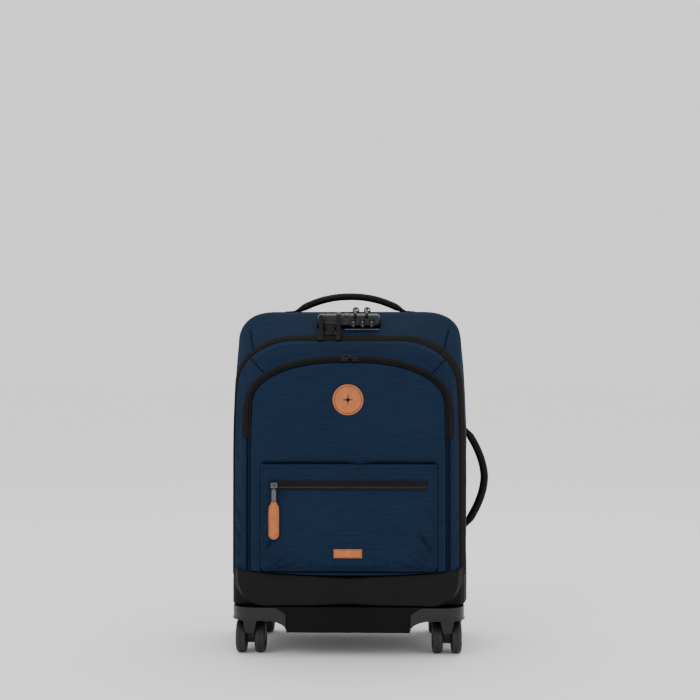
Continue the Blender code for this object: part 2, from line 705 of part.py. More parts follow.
def make_outer_slider(name, x, finish):
    """A slider on the compartment's zip with its pull stood up in front of the lock."""
    y, z = FRONT_SEAM - 3.5 * MM, 475.9 * MM
    slope = math.atan2(6.6 - 0.3, 6.9)
    body = soft_box((-4.2 * MM, -4.0 * MM, -5.2 * MM), (4.2 * MM, -0.6 * MM, 5.2 * MM), 0.8 * MM, 1)
    turn = Matrix.Translation((x, y, z)) @ Matrix.Rotation(-slope, 4, "X")
    bmesh.ops.transform(body, matrix=turn, verts=body.verts)
    pull_line = ((y - 2.4 * MM, z + 0.5 * MM), (y - 1.6 * MM, z + 16 * MM), (-84.2 * MM, 511.5 * MM))
    thick = 0.8 * MM
    edge = [(a - thick, b) for a, b in pull_line] + [(a + thick, b) for a, b in pull_line[::-1]]
    pull = prism(edge, "X", x - 3.2 * MM, x + 3.2 * MM)
    return add_object(name, fuse(body, pull), finish, (x, y, z))


def make_inner_slider(name, x, finish):
    """A small slider on the front pocket's arch with a short pull that stands up."""
    y, centre = FRONT_FACE - 3.2 * MM, 445.1 * MM - INNER_TRACK_RADIUS
    z = centre + math.sqrt(INNER_TRACK_RADIUS**2 - x**2)
    body = soft_box((x - 3.8 * MM, y - 3.4 * MM, z - 4 * MM), (x + 3.8 * MM, y - GAP, z + 4 * MM), 0.8 * MM, 1)
    pull = box((x - 2 * MM, y - 3.2 * MM, z + MM), (x + 2 * MM, y - 1.6 * MM, z + 12 * MM))
    return add_object(name, fuse(body, pull), finish, (0.0, y, centre))


def make_patch_zip(finishes):
    """The straight pocket zip, its slider, the metal pull that swings on it, and the leather tab."""
    front = POCKET_FACE - 1.5 * MM
    tape = box((-116 * MM, front, 251.3 * MM), (116 * MM, POCKET_FACE - GAP, 264.6 * MM))
    add_object("patch_zip", tape, finishes["tape"])
    x, z = -109 * MM, 258 * MM
    body = soft_box((x - 5 * MM, front - 3 * MM, z - 4.4 * MM), (x + 5 * MM, front - GAP, z + 4.4 * MM), 0.8 * MM, 1)
    pivot = (x, front - 5.0 * MM, z)
    ears = [
        box((x + a, front - 6.4 * MM, z - 1.7 * MM), (x + b, front - 2 * MM, z + 1.7 * MM))
        for a, b in ((-2.2 * MM, -1.4 * MM), (1.4 * MM, 2.2 * MM))
    ]
    pin = rod(0.6 * MM, (x - 1.8 * MM, *pivot[1:]), (x + 1.8 * MM, *pivot[1:]), 12)
    add_object("patch_slider", fuse(body, *ears, pin), finishes["gunmetal"], (x, front, z))
    eye = rod(1.6 * MM, (x - MM, *pivot[1:]), (x + MM, *pivot[1:]), 16)
    stem = box((x - MM, pivot[1] - 0.7 * MM, z - 7 * MM), (x + MM, pivot[1] + 0.7 * MM, z - 0.5 * MM))
    plate = soft_box((x - 3.4 * MM, pivot[1] - 0.8 * MM, 235 * MM), (x + 3.4 * MM, pivot[1] + 0.8 * MM, 252.3 * MM), 0.4 * MM, 1)
    hole = rod(0.9 * MM, (x - 3 * MM, *pivot[1:]), (x + 3 * MM, *pivot[1:]), 12)
    add_object("patch_pull", carve(fuse(eye, stem, plate), hole), finishes["gunmetal"], pivot)
    top, low = 234.7 * MM, 179 * MM
    outline = [
        (x - 4 * MM, top), (x - 8.5 * MM, top - 12 * MM), (x - 9.5 * MM, low + 7 * MM), (x - 7 * MM, low + 2 * MM), (x - 2.5 * MM, low),
        (x + 2.5 * MM, low), (x + 7 * MM, low + 2 * MM), (x + 9.5 * MM, low + 7 * MM), (x + 8.5 * MM, top - 12 * MM), (x + 4 * MM, top),
    ]  # fmt: skip
    tab = prism(outline, "Y", pivot[1] - 1.3 * MM, pivot[1] + 1.3 * MM)
    add_object("leather_tab", tab, finishes["leather"], pivot)


# ---------------------------------------------------------------- lock
def lock_direction(tilt):
    """A unit vector out of the lock's face, raised by tilt from straight forward."""
    return Vector((0.0, -math.cos(tilt), math.sin(tilt)))


def make_lock(finishes):
    """The combination lock: a round bar let into the lid, three dials, a key plug and a release button."""
    centre = Vector((0.0, *LOCK_CENTRE))
    bar = rod(LOCK_RADIUS, (-LOCK_HALF, *LOCK_CENTRE), (LOCK_HALF, *LOCK_CENTRE), 28)
    bmesh.ops.bevel(
        bar,
        geom=[e for e in bar.edges if abs(e.verts[0].co.x - e.verts[1].co.x) < MM],
        offset=2.2 * MM,
        segments=2,
        profile=0.5,
        affect="EDGES",
        material=-1,
    )
    housing = bar
    slot_half, dial_half = 3.9 * MM, 3.5 * MM
    for place in DIAL_PLACES:
        slot = rod(DIAL_SLOT_RADIUS, (place - slot_half, *DIAL_CENTRE), (place + slot_half, *DIAL_CENTRE), 24)
        spindle = rod(SPINDLE_RADIUS, (place - slot_half - MM, *DIAL_CENTRE), (place + slot_half + MM, *DIAL_CENTRE), 12)
        housing = carve(housing, carve(slot, spindle))
    key_axis, button_axis = lock_direction(KEY_TILT), lock_direction(BUTTON_TILT)
    key_base, button_base = centre + Vector((KEY_X, 0, 0)), centre + Vector((BUTTON_X, 0, 0))
    key_bore = rod(3.7 * MM, key_base + key_axis * 4 * MM, key_base + key_axis * 14 * MM, 16)
    button_bore = rod(3.8 * MM, button_base + button_axis * 4 * MM, button_base + button_axis * 14 * MM, 16)
    add_object("lock_housing", carve(housing, key_bore, button_bore), finishes["gunmetal"])
    for number, place in enumerate(DIAL_PLACES, 1):
        dial = lathe_x(
            ((-dial_half, SPINDLE_RADIUS + GAP), (-dial_half, DIAL_RADIUS - 0.5 * MM), (-dial_half + 0.6 * MM, DIAL_RADIUS),
             (dial_half - 0.6 * MM, DIAL_RADIUS), (dial_half, DIAL_RADIUS - 0.5 * MM), (dial_half, SPINDLE_RADIUS + GAP),
             (-dial_half, SPINDLE_RADIUS + GAP)),
            (place, *DIAL_CENTRE),
            20,
        )  # fmt: skip
        add_object(f"lock_dial_{number}", dial, finishes["plastic"], (place, *DIAL_CENTRE))
    plug = rod(3.4 * MM, key_base + key_axis * 4.4 * MM, key_base + key_axis * 12.4 * MM, 16)
    slit_box = box((-0.5 * MM, -1.9 * MM, 9 * MM), (0.5 * MM, 1.9 * MM, 14 * MM))
    turn = Matrix.Translation(key_base) @ key_axis.to_track_quat("Z", "X").to_matrix().to_4x4()
    bmesh.ops.transform(slit_box, matrix=turn, verts=slit_box.verts)
    add_object("key_plug", carve(plug, slit_box), finishes["gunmetal"], key_base + key_axis * 12.4 * MM)
    button = rod(3.5 * MM, button_base + button_axis * 7 * MM, button_base + button_axis * 13.6 * MM, 16)
    add_object("release_button", button, finishes["gunmetal"], button_base + button_axis * 13.6 * MM)


# ---------------------------------------------------------------- assembly
def clear_scene():
    for obj in list(bpy.data.objects):
        bpy.data.objects.remove(obj)


def main():
    clear_scene()
    finishes = make_materials()
    make_bottom_panel(finishes["black_fabric"])
    make_casters(finishes)
    make_rear_gusset(finishes["navy"])
    make_back_panel(finishes["navy"])
    half_slit = ZIP_SLIT / 2
    make_tape_hoop("main_zip_rear", ZIP_MIDDLE + half_slit, ZIP_MIDDLE + ZIP_HALF, finishes["tape"])
    make_tape_hoop("main_zip_lid", ZIP_MIDDLE - ZIP_HALF, ZIP_MIDDLE - half_slit, finishes["tape"])
    make_top_handle(finishes["webbing"])
    make_side_handle(finishes["webbing"])
    make_trolley(finishes)
    make_lid_gusset(finishes["navy"])
    make_front_compartment(finishes["navy"])
    make_outer_zip(finishes["tape"])
    make_inner_pocket(finishes["navy"])
    make_inner_zip(finishes["tape"])
    make_patch_pocket(finishes["navy"])
    make_patch_zip(finishes)
    make_bottom_guard(finishes["black_fabric"])
    make_labels(finishes["leather"])
    make_lock(finishes)
    for word, x in (("left", 10 * MM), ("right", 27.5 * MM)):
        make_main_slider(f"main_slider_{word}", x, finishes["gunmetal"])
    for word, x in (("left", -41.5 * MM), ("right", -15 * MM)):
        make_outer_slider(f"outer_slider_{word}", x, finishes["gunmetal"])
    for word, x in (("left", -6 * MM), ("right", 11 * MM)):
        make_inner_slider(f"inner_slider_{word}", x, finishes["gunmetal"])


main()
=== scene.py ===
"""A soft-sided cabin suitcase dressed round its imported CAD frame: cloth, zips, leather, lock and casters."""

import json
import math

import bmesh
import bpy
from bpy.props import FloatProperty, FloatVectorProperty, IntProperty, PointerProperty
from mathutils import Matrix, Vector, noise


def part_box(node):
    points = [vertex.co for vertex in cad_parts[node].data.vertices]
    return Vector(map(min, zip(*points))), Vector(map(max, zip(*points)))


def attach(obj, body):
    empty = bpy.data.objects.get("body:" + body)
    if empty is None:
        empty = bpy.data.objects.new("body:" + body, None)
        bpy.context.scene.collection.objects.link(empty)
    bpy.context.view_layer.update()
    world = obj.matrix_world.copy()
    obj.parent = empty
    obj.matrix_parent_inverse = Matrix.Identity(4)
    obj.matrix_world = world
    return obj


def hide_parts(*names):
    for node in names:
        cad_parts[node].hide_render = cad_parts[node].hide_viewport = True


bl_info = {
    "name": "Soft cabin suitcase",
    "version": (1, 0, 0),
    "blender": (4, 5, 0),
    "location": "3D View > Sidebar > Suitcase",
    "description": "Builds the cloth, trim and fittings of a soft-sided cabin suitcase",
    "category": "Object",
}

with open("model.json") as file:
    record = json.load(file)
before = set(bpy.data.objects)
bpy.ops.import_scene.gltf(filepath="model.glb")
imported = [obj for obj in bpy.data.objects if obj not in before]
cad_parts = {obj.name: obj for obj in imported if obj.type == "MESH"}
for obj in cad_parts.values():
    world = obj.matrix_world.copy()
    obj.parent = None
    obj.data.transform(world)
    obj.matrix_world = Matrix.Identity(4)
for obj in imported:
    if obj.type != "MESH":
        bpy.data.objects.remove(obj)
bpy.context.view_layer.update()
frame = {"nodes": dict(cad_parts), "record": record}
MM = 0.001
BACK_FACE = 107.0
_back_low, _back_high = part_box("back_panel")
CASE = Vector(((_back_low.x + _back_high.x) / 2, _back_high.y - BACK_FACE * MM, 0.0))

# Outlines in front view, in mm: half width, top, corner (across, down), taper at the shoulder, squareness.
BODY = (179.0, 518.0, (58.0, 42.0), 8.0, 2.3)
SEAM = (173.0, 479.5, (92.0, 75.0), 3.0, 2.05)
PANEL = (155.0, 449.5, (146.0, 68.0), 2.0, 2.15)
PANEL_ZIP_INNER = (145.8, 440.8, (137.4, 59.3), 2.0, 2.15)
BODY_LOW = 76.0
ZIP_MIDDLE = -24.0
ARCH_FOOT = 120.5
SKIRT_TOP = 126.0
PANEL_INSET = 9.5
PANEL_ZIP_FOOT = 328.5
# Points up each leg of an outline, round each shoulder and over half of its top.
STEPS = (56, 22, 14)

# Sewn and fitted places, in mm.
BADGE_Z, TAG_Z, POCKET_ZIP_Z = 384.5, 157.8, 258.0
SIDE_HANDLE_Z = 258.2
LOCK_Y, LOCK_Z = -66.0, 502.5
DIAL_Y, DIAL_Z, DIAL_PLACES = -71.5, 498.5, (7.0, 21.0, 35.0)
CORNERS = ("front_left", "front_right", "rear_left", "rear_right")
FRONT = (0, -1, 0)


# ---------------------------------------------------------------- colours
def linear(hex_colour):
    """A #RRGGBB colour as linear light."""
    parts = [int(hex_colour[i : i + 2], 16) / 255 for i in (1, 3, 5)]
    return [p / 12.92 if p <= 0.04045 else ((p + 0.055) / 1.055) ** 2.4 for p in parts]


def colour_field(name, text, hex_colour):
    return FloatVectorProperty(
        name=name, description=text, subtype="COLOR", size=3, min=0.0, max=1.0, default=linear(hex_colour)
    )


def length_field(name, text, millimetres):
    return FloatProperty(name=name, description=text, default=millimetres * MM, unit="LENGTH", min=0.0)


class SuitcaseColours(bpy.types.PropertyGroup):
    navy: colour_field("Navy cloth", "Main colour of the woven polyester", "#122237")
    tape: colour_field("Zip tape", "Colour of the zip tapes", "#12100F")
    coated: colour_field("Coated cloth", "Colour of the guard and the lower band", "#111112")
    webbing: colour_field("Webbing", "Colour of the carry handles", "#0A0A0B")
    lining: colour_field("Lining", "Colour of the inner lining", "#2B2D32")
    plastic: colour_field("Plastic", "Colour of the moulded wheel housings and forks", "#08080A")
    tread: colour_field("Tread", "Colour of the caster wheels", "#161618")
    gunmetal: colour_field("Gunmetal", "Colour of the plated lock and zip sliders", "#1E2023")
    tube: colour_field("Tube", "Colour of the anodised pull-handle tubes", "#5B5D61")
    leather: colour_field("Leather", "Colour of the tan leather", "#AE6234")
    floor: colour_field("Floor", "Colour of the studio floor", "#FFFFFF")


class SuitcaseSizes(bpy.types.PropertyGroup):
    cloth: length_field("Cloth thickness", "Thickness of the cloth and its backing", 2.2)
    bulge: length_field("Bulge", "How far the soft walls stand out between their seams", 1.6)
    crumple: length_field("Crumple", "Height of the soft unevenness in the cloth", 0.9)
    stitch_pitch: length_field("Stitch pitch", "Distance from one stitch to the next", 4.0)
    tooth_pitch: length_field("Tooth pitch", "Distance from one zip tooth to the next", 2.6)
    wheel_facets: IntProperty(name="Wheel facets", description="Segments round a wheel", default=64, min=16)
    camera_distance: length_field("Camera distance", "From the camera to the middle of the case", 2008.0)
    camera_height: length_field("Camera height", "Height of the camera above the floor", 433.0)


def sizes():
    return bpy.context.scene.suitcase_sizes


def colour(name):
    return (*getattr(bpy.context.scene.suitcase_colours, name), 1.0)


# ---------------------------------------------------------------- materials
def fill(tree, node, values):
    """Sets a node's inputs, or links them where a value is another node's socket."""
    for key, value in values.items():
        if isinstance(value, bpy.types.NodeSocket):
            tree.links.new(value, node.inputs[key])
        else:
            node.inputs[key].default_value = value


def add_node(tree, kind, inputs=None, **settings):
    """Adds a node, sets its settings, and fills or links its inputs."""
    made = tree.nodes.new(kind)
    for key, value in settings.items():
        setattr(made, key, value)
    fill(tree, made, inputs or {})
    return made


def start_material(name):
    """An empty Principled material: (material, tree, shader)."""
    made = bpy.data.materials.new(name)
    made.use_nodes = True
    return made, made.node_tree, made.node_tree.nodes["Principled BSDF"]


def maths(tree, operation, *values):
    return add_node(tree, "ShaderNodeMath", dict(enumerate(values)), operation=operation).outputs[0]


def noise_field(tree, place, scale, detail, roughness=0.5):
    values = {"Vector": place, "Scale": scale, "Detail": detail, "Roughness": roughness}
    return add_node(tree, "ShaderNodeTexNoise", values).outputs["Fac"]


def remapped(tree, value, low, high, start=0.3, end=0.7):
    """Stretches a value that runs from start to end, so that it runs from low to high."""
    values = {"Value": value, "From Min": start, "From Max": end, "To Min": low, "To Max": high}
    return add_node(tree, "ShaderNodeMapRange", values).outputs[0]


def shaded(tree, tint, shade):
    return add_node(tree, "ShaderNodeVectorMath", {0: tint[:3], "Scale": shade}, operation="SCALE").outputs[0]


def bumped(tree, strength, distance, height):
    values = {"Strength": strength, "Distance": distance, "Height": height}
    return add_node(tree, "ShaderNodeBump", values).outputs[0]


def cloth_material(name, tint, rib, cross, streak, roughness, bump, sheen=0.0, gloss=0.3):
    """Woven cloth: ribs of weft every rib metres, warp every cross metres, and slubby streaks along the weft."""
    material, tree, shader = start_material(name)
    place = add_node(tree, "ShaderNodeUVMap", uv_map="cloth").outputs[0]
    axes = add_node(tree, "ShaderNodeSeparateXYZ", {0: place}).outputs
    weft = maths(tree, "SINE", maths(tree, "MULTIPLY", axes[1], math.tau / rib))
    warp = maths(tree, "SINE", maths(tree, "MULTIPLY", axes[0], math.tau / cross))
    weave = maths(tree, "MULTIPLY_ADD", maths(tree, "MULTIPLY", weft, warp), 0.35, weft)
    stretched = add_node(tree, "ShaderNodeVectorMath", {0: place, 1: (28.0, 420.0, 1.0)}, operation="MULTIPLY")
    slub = noise_field(tree, stretched.outputs[0], 1.0, 2.0, 0.55)
    mottle = noise_field(tree, add_node(tree, "ShaderNodeTexCoord").outputs["Object"], 9.0, 3.0)
    shade = maths(tree, "MULTIPLY_ADD", weave, 0.16, remapped(tree, slub, 1.0 - streak, 1.0 + streak))
    shade = maths(tree, "MULTIPLY", shade, remapped(tree, mottle, 0.9, 1.1, 0.25, 0.75))
    values = {
        "Base Color": shaded(tree, tint, shade),
        "Roughness": remapped(tree, slub, roughness - 0.06, roughness + 0.06),
        "Normal": bumped(tree, bump, 0.0004, weave),
        "Sheen Weight": sheen,
        "Sheen Roughness": 0.4,
        "Sheen Tint": (0.55, 0.62, 0.75, 1.0),
        "Specular IOR Level": gloss,
    }
    fill(tree, shader, values)
    return material


def moulded_material(name, tint, roughness, grain, metallic=0.0, coat=0.0, bump=0.08, gloss=0.5):
    """Moulded, plated or anodised finish: fine spark-eroded grain and a little unevenness in its gloss."""
    material, tree, shader = start_material(name)
    where = add_node(tree, "ShaderNodeTexCoord").outputs["Object"]
    broad = noise_field(tree, where, 40.0, 3.0)
    values = {
        "Base Color": shaded(tree, tint, remapped(tree, broad, 0.92, 1.08)),
        "Roughness": remapped(tree, broad, roughness - 0.05, roughness + 0.07),
        "Metallic": metallic,
        "Normal": bumped(tree, bump, 0.0003, noise_field(tree, where, 1.0 / grain, 2.0, 0.6)),
        "Coat Weight": coat,
        "Coat Roughness": 0.3,
        "Specular IOR Level": gloss,
    }
    fill(tree, shader, values)
    return material


def leather_material(name, tint):
    """Vegetable-tanned leather: pebbled grain of about 1 mm, soft clouds, and darker creases."""
    material, tree, shader = start_material(name)
    where = add_node(tree, "ShaderNodeTexCoord").outputs["Object"]
    pebble = add_node(tree, "ShaderNodeTexVoronoi", {"Vector": where, "Scale": 900.0}, feature="DISTANCE_TO_EDGE")
    crease = remapped(tree, pebble.outputs["Distance"], 0.0, 1.0, 0.0, 0.15)
    values = {
        "Base Color": shaded(tree, tint, remapped(tree, noise_field(tree, where, 120.0, 4.0), 0.86, 1.12)),
        "Roughness": 0.55,
        "Normal": bumped(tree, 0.25, 0.0003, crease),
        "Specular IOR Level": 0.4,
    }
    fill(tree, shader, values)
    return material


def woven(name, tint, rib_mm, cross_mm, streak, roughness, bump, **settings):
    return cloth_material, name, tint, (rib_mm * MM, cross_mm * MM, streak, roughness, bump), settings


def moulded(name, tint, roughness, grain_mm, metallic=0.0, **settings):
    return moulded_material, name, tint, (roughness, grain_mm * MM, metallic), settings


# Each look is a material's name, its tint (a colour of the add-on's or #RRGGBB) and its numbers.
LOOKS = {
    # 600-denier polyester, plain-woven with a heavier weft: matt, with faint level lines. The real rib is
    # about 0.8 mm and is drawn at 2.4 mm, so that the lines show from a few metres.
    "navy": woven("woven_navy_polyester", "navy", 2.4, 1.6, 0.2, 0.8, 0.45, gloss=0.1),
    # Zip tape: dense woven polyester, nearly black, slightly brown.
    "tape": woven("woven_zip_tape", "tape", 0.8, 0.8, 0.06, 0.75, 0.25, gloss=0.15),
    # Polyurethane-coated polyester: smooth and dark, with a low gloss.
    "coated": woven("coated_black_polyester", "coated", 0.9, 0.9, 0.05, 0.66, 0.15, gloss=0.14),
    # The tray's cloth: the same coating, matt, with its colour painted darker as the shade under the case.
    "shaded": woven("matt_black_polyester", "#0E0E10", 0.9, 0.9, 0.05, 0.8, 0.15, gloss=0.12),
    "webbing": woven("herringbone_webbing", "webbing", 1.6, 1.2, 0.08, 0.7, 0.4, gloss=0.2),
    "lining": woven("grey_taffeta_lining", "lining", 0.7, 0.7, 0.05, 0.6, 0.15, sheen=0.1),
    # The seams' folds: the same polyester, with its colour painted dark as the shade that falls in the folds.
    "seam": woven("navy_seam_fold", "#060F1C", 1.2, 1.2, 0.05, 0.85, 0.2, gloss=0.05),
    # Polypropylene moulded in a spark-eroded tool: satin, with a fine grain.
    "plastic": moulded("moulded_polypropylene", "plastic", 0.36, 0.6, gloss=0.4),
    "tread": moulded("moulded_tpr_tread", "tread", 0.6, 0.8, bump=0.12),
    # Zinc die castings, plated gunmetal: dark metal with a soft gloss.
    "gunmetal": moulded("plated_zinc", "gunmetal", 0.27, 0.5, 1.0, coat=0.4, bump=0.04),
    "nickel": moulded("nickel_plated_zinc", "#5C5E62", 0.24, 0.5, 1.0, bump=0.04),
    "black_cast": moulded("black_plated_zinc", "#030304", 0.3, 0.5, bump=0.04, gloss=0.22),
    "tube": moulded("anodised_aluminium", "tube", 0.36, 0.4, 1.0, bump=0.05),
    "steel": moulded("turned_steel", (0.56, 0.56, 0.57), 0.3, 0.4, 1.0, bump=0.05),
    "leather": (leather_material, "tanned_leather", "leather", (), {}),
    # Pressed and painted marks in the leather.
    "mark": moulded("dark_leather_print", "#3B2317", 0.6, 0.8),
    "thread": moulded("black_thread", "#080808", 0.7, 0.6),
    "navy_thread": moulded("navy_thread", "#050D1A", 0.7, 0.6),
    # Zip coil: extruded polyester monofilament, brown-black.
    "coil": moulded("polyester_coil", "#2A2523", 0.4, 0.4),
    "white_print": moulded("white_number_print", "#9C9C9A", 0.5, 0.6),
}
_finishes = {}


def finish(name):
    """The material of that name, made on first use."""
    if name not in _finishes:
        maker, title, tint, numbers, settings = LOOKS[name]
        if isinstance(tint, str):
            tint = linear(tint) if tint.startswith("#") else colour(tint)
        _finishes[name] = maker(title, tint, *numbers, **settings)
    return _finishes[name]


# ---------------------------------------------------------------- pieces
def mesh_of(name, bm):
    """Turns a bmesh into a mesh and frees it."""
    mesh = bpy.data.meshes.new(name)
    bm.to_mesh(mesh)
    bm.free()
    return mesh


def new_object(name, data):
    """A new object in the scene."""
    obj = bpy.data.objects.new(name, data)
    bpy.context.scene.collection.objects.link(obj)
    return obj


def add_piece(name, bm, body, look, replaces=(), sharp_deg=40.0, inside=None, bevel=0.0, wall=0.0):
    """Stores a bmesh as a piece that rides on a CAD body. wall solidifies it inwards, bevel rounds its edges."""
    mesh = mesh_of(name, bm)
    mesh.shade_smooth()
    mesh.set_sharp_from_angle(angle=math.radians(sharp_deg))
    mesh.materials.append(finish(look))
    obj = new_object(name, mesh)
    if wall:
        modifier = obj.modifiers.new("wall", "SOLIDIFY")
        modifier.thickness, modifier.offset, modifier.use_even_offset = wall, -1.0, False
        if inside:
            mesh.materials.append(finish(inside))
            modifier.material_offset = 1
    if bevel:
        modifier = obj.modifiers.new("edges", "BEVEL")
        modifier.width, modifier.segments, modifier.limit_method = bevel, 3, "ANGLE"
        modifier.angle_limit = math.radians(35)
        modifier.harden_normals = False
    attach(obj, body)
    if replaces:
        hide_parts(*replaces)
    return obj


def at(x, y, z):
    """A point given in mm in the case's own frame."""
    return Vector((x * MM + CASE.x, y * MM + CASE.y, z * MM))


def lattice(rows, closed=False, away_from=None, turned=None):
    """A sheet of quads through rows of points, with a UV map in metres. closed joins each row into a ring;
    turned(column) says where the cloth is cut the other way of the grain."""
    bm = bmesh.new()
    across, along = len(rows[0]), len(rows)
    bmesh.ops.create_grid(bm, x_segments=across - 1, y_segments=along - 1, size=1.0)
    bm.verts.ensure_lookup_table()
    for j, row in enumerate(rows):
        for i, point in enumerate(row):
            bm.verts[j * across + i].co = point
    run = []
    for row in rows:
        lengths = [0.0]
        for before, after in zip(row, row[1:]):
            lengths.append(lengths[-1] + (after - before).length)
        run.append([length - lengths[-1] / 2 for length in lengths])
    rise = [[0.0] * across]
    for before, after in zip(rows, rows[1:]):
        rise.append([r + (b - a).length for r, a, b in zip(rise[-1], before, after)])
    layer = bm.loops.layers.uv.new("cloth")
    bm.verts.index_update()
    for face in bm.faces:
        column = min(loop.vert.index % across for loop in face.loops)
        swap = turned is not None and turned(column)
        for loop in face.loops:
            j, i = divmod(loop.vert.index, across)
            place = (run[j][i], rise[j][i])
            loop[layer].uv = place[::-1] if swap else place
    if closed:
        bmesh.ops.remove_doubles(bm, verts=bm.verts, dist=0.005 * MM)
    turn_out(bm, away_from or at(0, 0, 290))
    return bm


def soften(rows, amount, ring=False):
    """Moves the points of a sheet along its normal by amount(case point in mm, row share, column share) in mm."""
    centre = at(0, 0, 290)
    count, last = len(rows[0]), len(rows) - 1
    normals, total = [], 0.0
    for j, row in enumerate(rows):
        line = []
        for i, point in enumerate(row):
            if ring:
                before, after = row[i - 1 if i else -2], row[(i + 1) if i < count - 1 else 1]
            else:
                before, after = row[max(i - 1, 0)], row[min(i + 1, count - 1)]
            up = rows[min(j + 1, last)][i] - rows[max(j - 1, 0)][i]
            normal = (after - before).cross(up).normalized()
            total += normal.dot(point - centre)
            line.append(normal)
        normals.append(line)
    sign = 1.0 if total >= 0 else -1.0
    out = []
    for j, (row, line) in enumerate(zip(rows, normals)):
        new = []
        for i, (point, normal) in enumerate(zip(row, line)):
            p = (point - CASE) / MM
            new.append(point + normal * (sign * MM * amount(p, j / last, i / (count - 1))))
        out.append(new)
    return out


def turn_out(bm, centre):
    """Turns an open sheet so that it faces away from a point."""
    bm.normal_update()
    total = sum(face.calc_area() * face.normal.dot(face.calc_center_median() - centre) for face in bm.faces)
    if total < 0:
        bmesh.ops.reverse_faces(bm, faces=bm.faces)
    bm.normal_update()


def crumple(p, reach, seed):
    """Soft unevenness from -1 to 1 with bumps about reach mm apart."""
    return noise.noise(Vector((p.x, p.y, p.z)) / reach + Vector((seed, seed * 1.7, seed * 0.3)))


def arch(shape, inset=0.0, low=BODY_LOW, steps=STEPS):
    """Pairs (x, z) in mm from the left foot of an outline over its top to the right foot."""
    half, top, (corner_x, corner_z), taper, power = shape
    half, top = half - inset, top - inset
    corner_x -= inset if shape is PANEL else inset / 2
    corner_z -= inset / 2
    shoulder, top_half = top - corner_z, half - taper - corner_x
    right = []
    for step in range(steps[0]):
        share = step / steps[0]
        ease = max(0.0, (share - 0.6) / 0.4)
        right.append((half - taper * ease * ease, low + share * (shoulder - low)))
    for step in range(steps[1]):
        angle = math.pi / 2 * step / steps[1]
        across, up = math.cos(angle) ** (2 / power), math.sin(angle) ** (2 / power)
        right.append((top_half + corner_x * across, shoulder + corner_z * up))
    for step in range(steps[2] + 1):
        right.append((top_half * (1 - step / steps[2]), top))
    return [(-x, z) for x, z in right[:-1]] + right[::-1]


def mix(p, q, share):
    return p[0] + (q[0] - p[0]) * share, p[1] + (q[1] - p[1]) * share


def mix_pairs(a, b, share):
    return [mix(p, q, share) for p, q in zip(a, b)]


def circle(count):
    """The angles of count points round a circle."""
    return [math.tau * step / count for step in range(count)]


def degrees(start, turn, steps):
    """Angles in radians from start over a turn, both in degrees."""
    return [math.radians(start + turn * step / steps) for step in range(steps + 1)]


def row_at(pairs, y):
    return [at(x, y, z) for x, z in pairs]


def close_below(pairs, low, steps=6, floor_steps=18):
    """Turns pairs whose feet stand a little above low into a ring with rounded lower corners and a floor."""
    half, radius = abs(pairs[0][0]), pairs[0][1] - low
    right = [
        (half - radius * (1 - math.cos(turn)), low + radius * (1 - math.sin(turn)))
        for turn in (math.pi / 2 * step / steps for step in range(1, steps + 1))
    ]
    right += [((half - radius) * (1 - step / floor_steps), low) for step in range(1, floor_steps + 1)]
    return [(-x, z) for x, z in right[::-1]] + pairs + right


def smooth_share(value, low, high):
    """0 below low, 1 above high, with a smooth rise between."""
    share = min(1.0, max(0.0, (value - low) / (high - low)))
    return share * share * (3 - 2 * share)


def through(stations, value):
    """Looks up a piecewise-linear table of (key, *numbers)."""
    for before, after in zip(stations, stations[1:]):
        if value <= after[0] or after is stations[-1]:
            share = (value - before[0]) / (after[0] - before[0])
            return [b + (a - b) * share for b, a in zip(before[1:], after[1:])]
    return list(stations[-1][1:])


def path_normals(points, centre):
    """A unit vector away from the centre, square to the path, at each point."""
    out = []
    for index, point in enumerate(points):
        tangent = (points[min(index + 1, len(points) - 1)] - points[max(index - 1, 0)]).normalized()
        away = point - centre
        out.append((away - tangent * away.dot(tangent)).normalized())
    return out


def sweep(section, points, normals, ring=False):
    """A solid of a closed section, pairs (sideways, outwards) in mm, along a path."""
    rows = []
    count = len(points)
    for index, (point, normal) in enumerate(zip(points, normals)):
        before = points[index - 1] if (index or ring) else point
        after = points[(index + 1) % count] if (index < count - 1 or ring) else point
        tangent = (after - before).normalized()
        side = tangent.cross(normal).normalized()
        rows.append([point + side * (a * MM) + normal * (b * MM) for a, b in [*section, section[0]]])
    if ring:
        rows.append(rows[0])
    bm = lattice(rows, closed=True)
    if not ring:
        bmesh.ops.holes_fill(bm, edges=bm.edges, sides=0)
    bmesh.ops.recalc_face_normals(bm, faces=bm.faces)
    return bm


def closed_sweep(section, ring, centre):
    """A sweep round a closed path that faces away from a centre."""
    return sweep(section, ring, path_normals(ring + ring[:1], centre)[:-1], ring=True)


def flat_sweep(section, path, out=FRONT, ring=False):
    """A sweep whose section stands square to one direction all along."""
    return sweep(section, path, [Vector(out)] * len(path), ring)


def round_section(radius_a, radius_b=None, steps=12, power=2.0):
    """An ellipse as pairs; a power above 2 squares it off."""
    radius_b = radius_a if radius_b is None else radius_b
    waves = [(math.cos(angle), math.sin(angle)) for angle in circle(steps)]
    return [
        (radius_a * math.copysign(abs(c) ** (2 / power), c), radius_b * math.copysign(abs(s) ** (2 / power), s))
        for c, s in waves
    ]


def spaced(points, pitch):
    """Points every pitch metres along a path, with the direction at each."""
    out, carried = [], pitch / 2
    for before, after in zip(points, points[1:]):
        length = (after - before).length
        if length < 1e-9:
            continue
        direction = (after - before) / length
        while carried <= length:
            out.append((before + direction * carried, direction))
            carried += pitch
        carried -= length
    return out


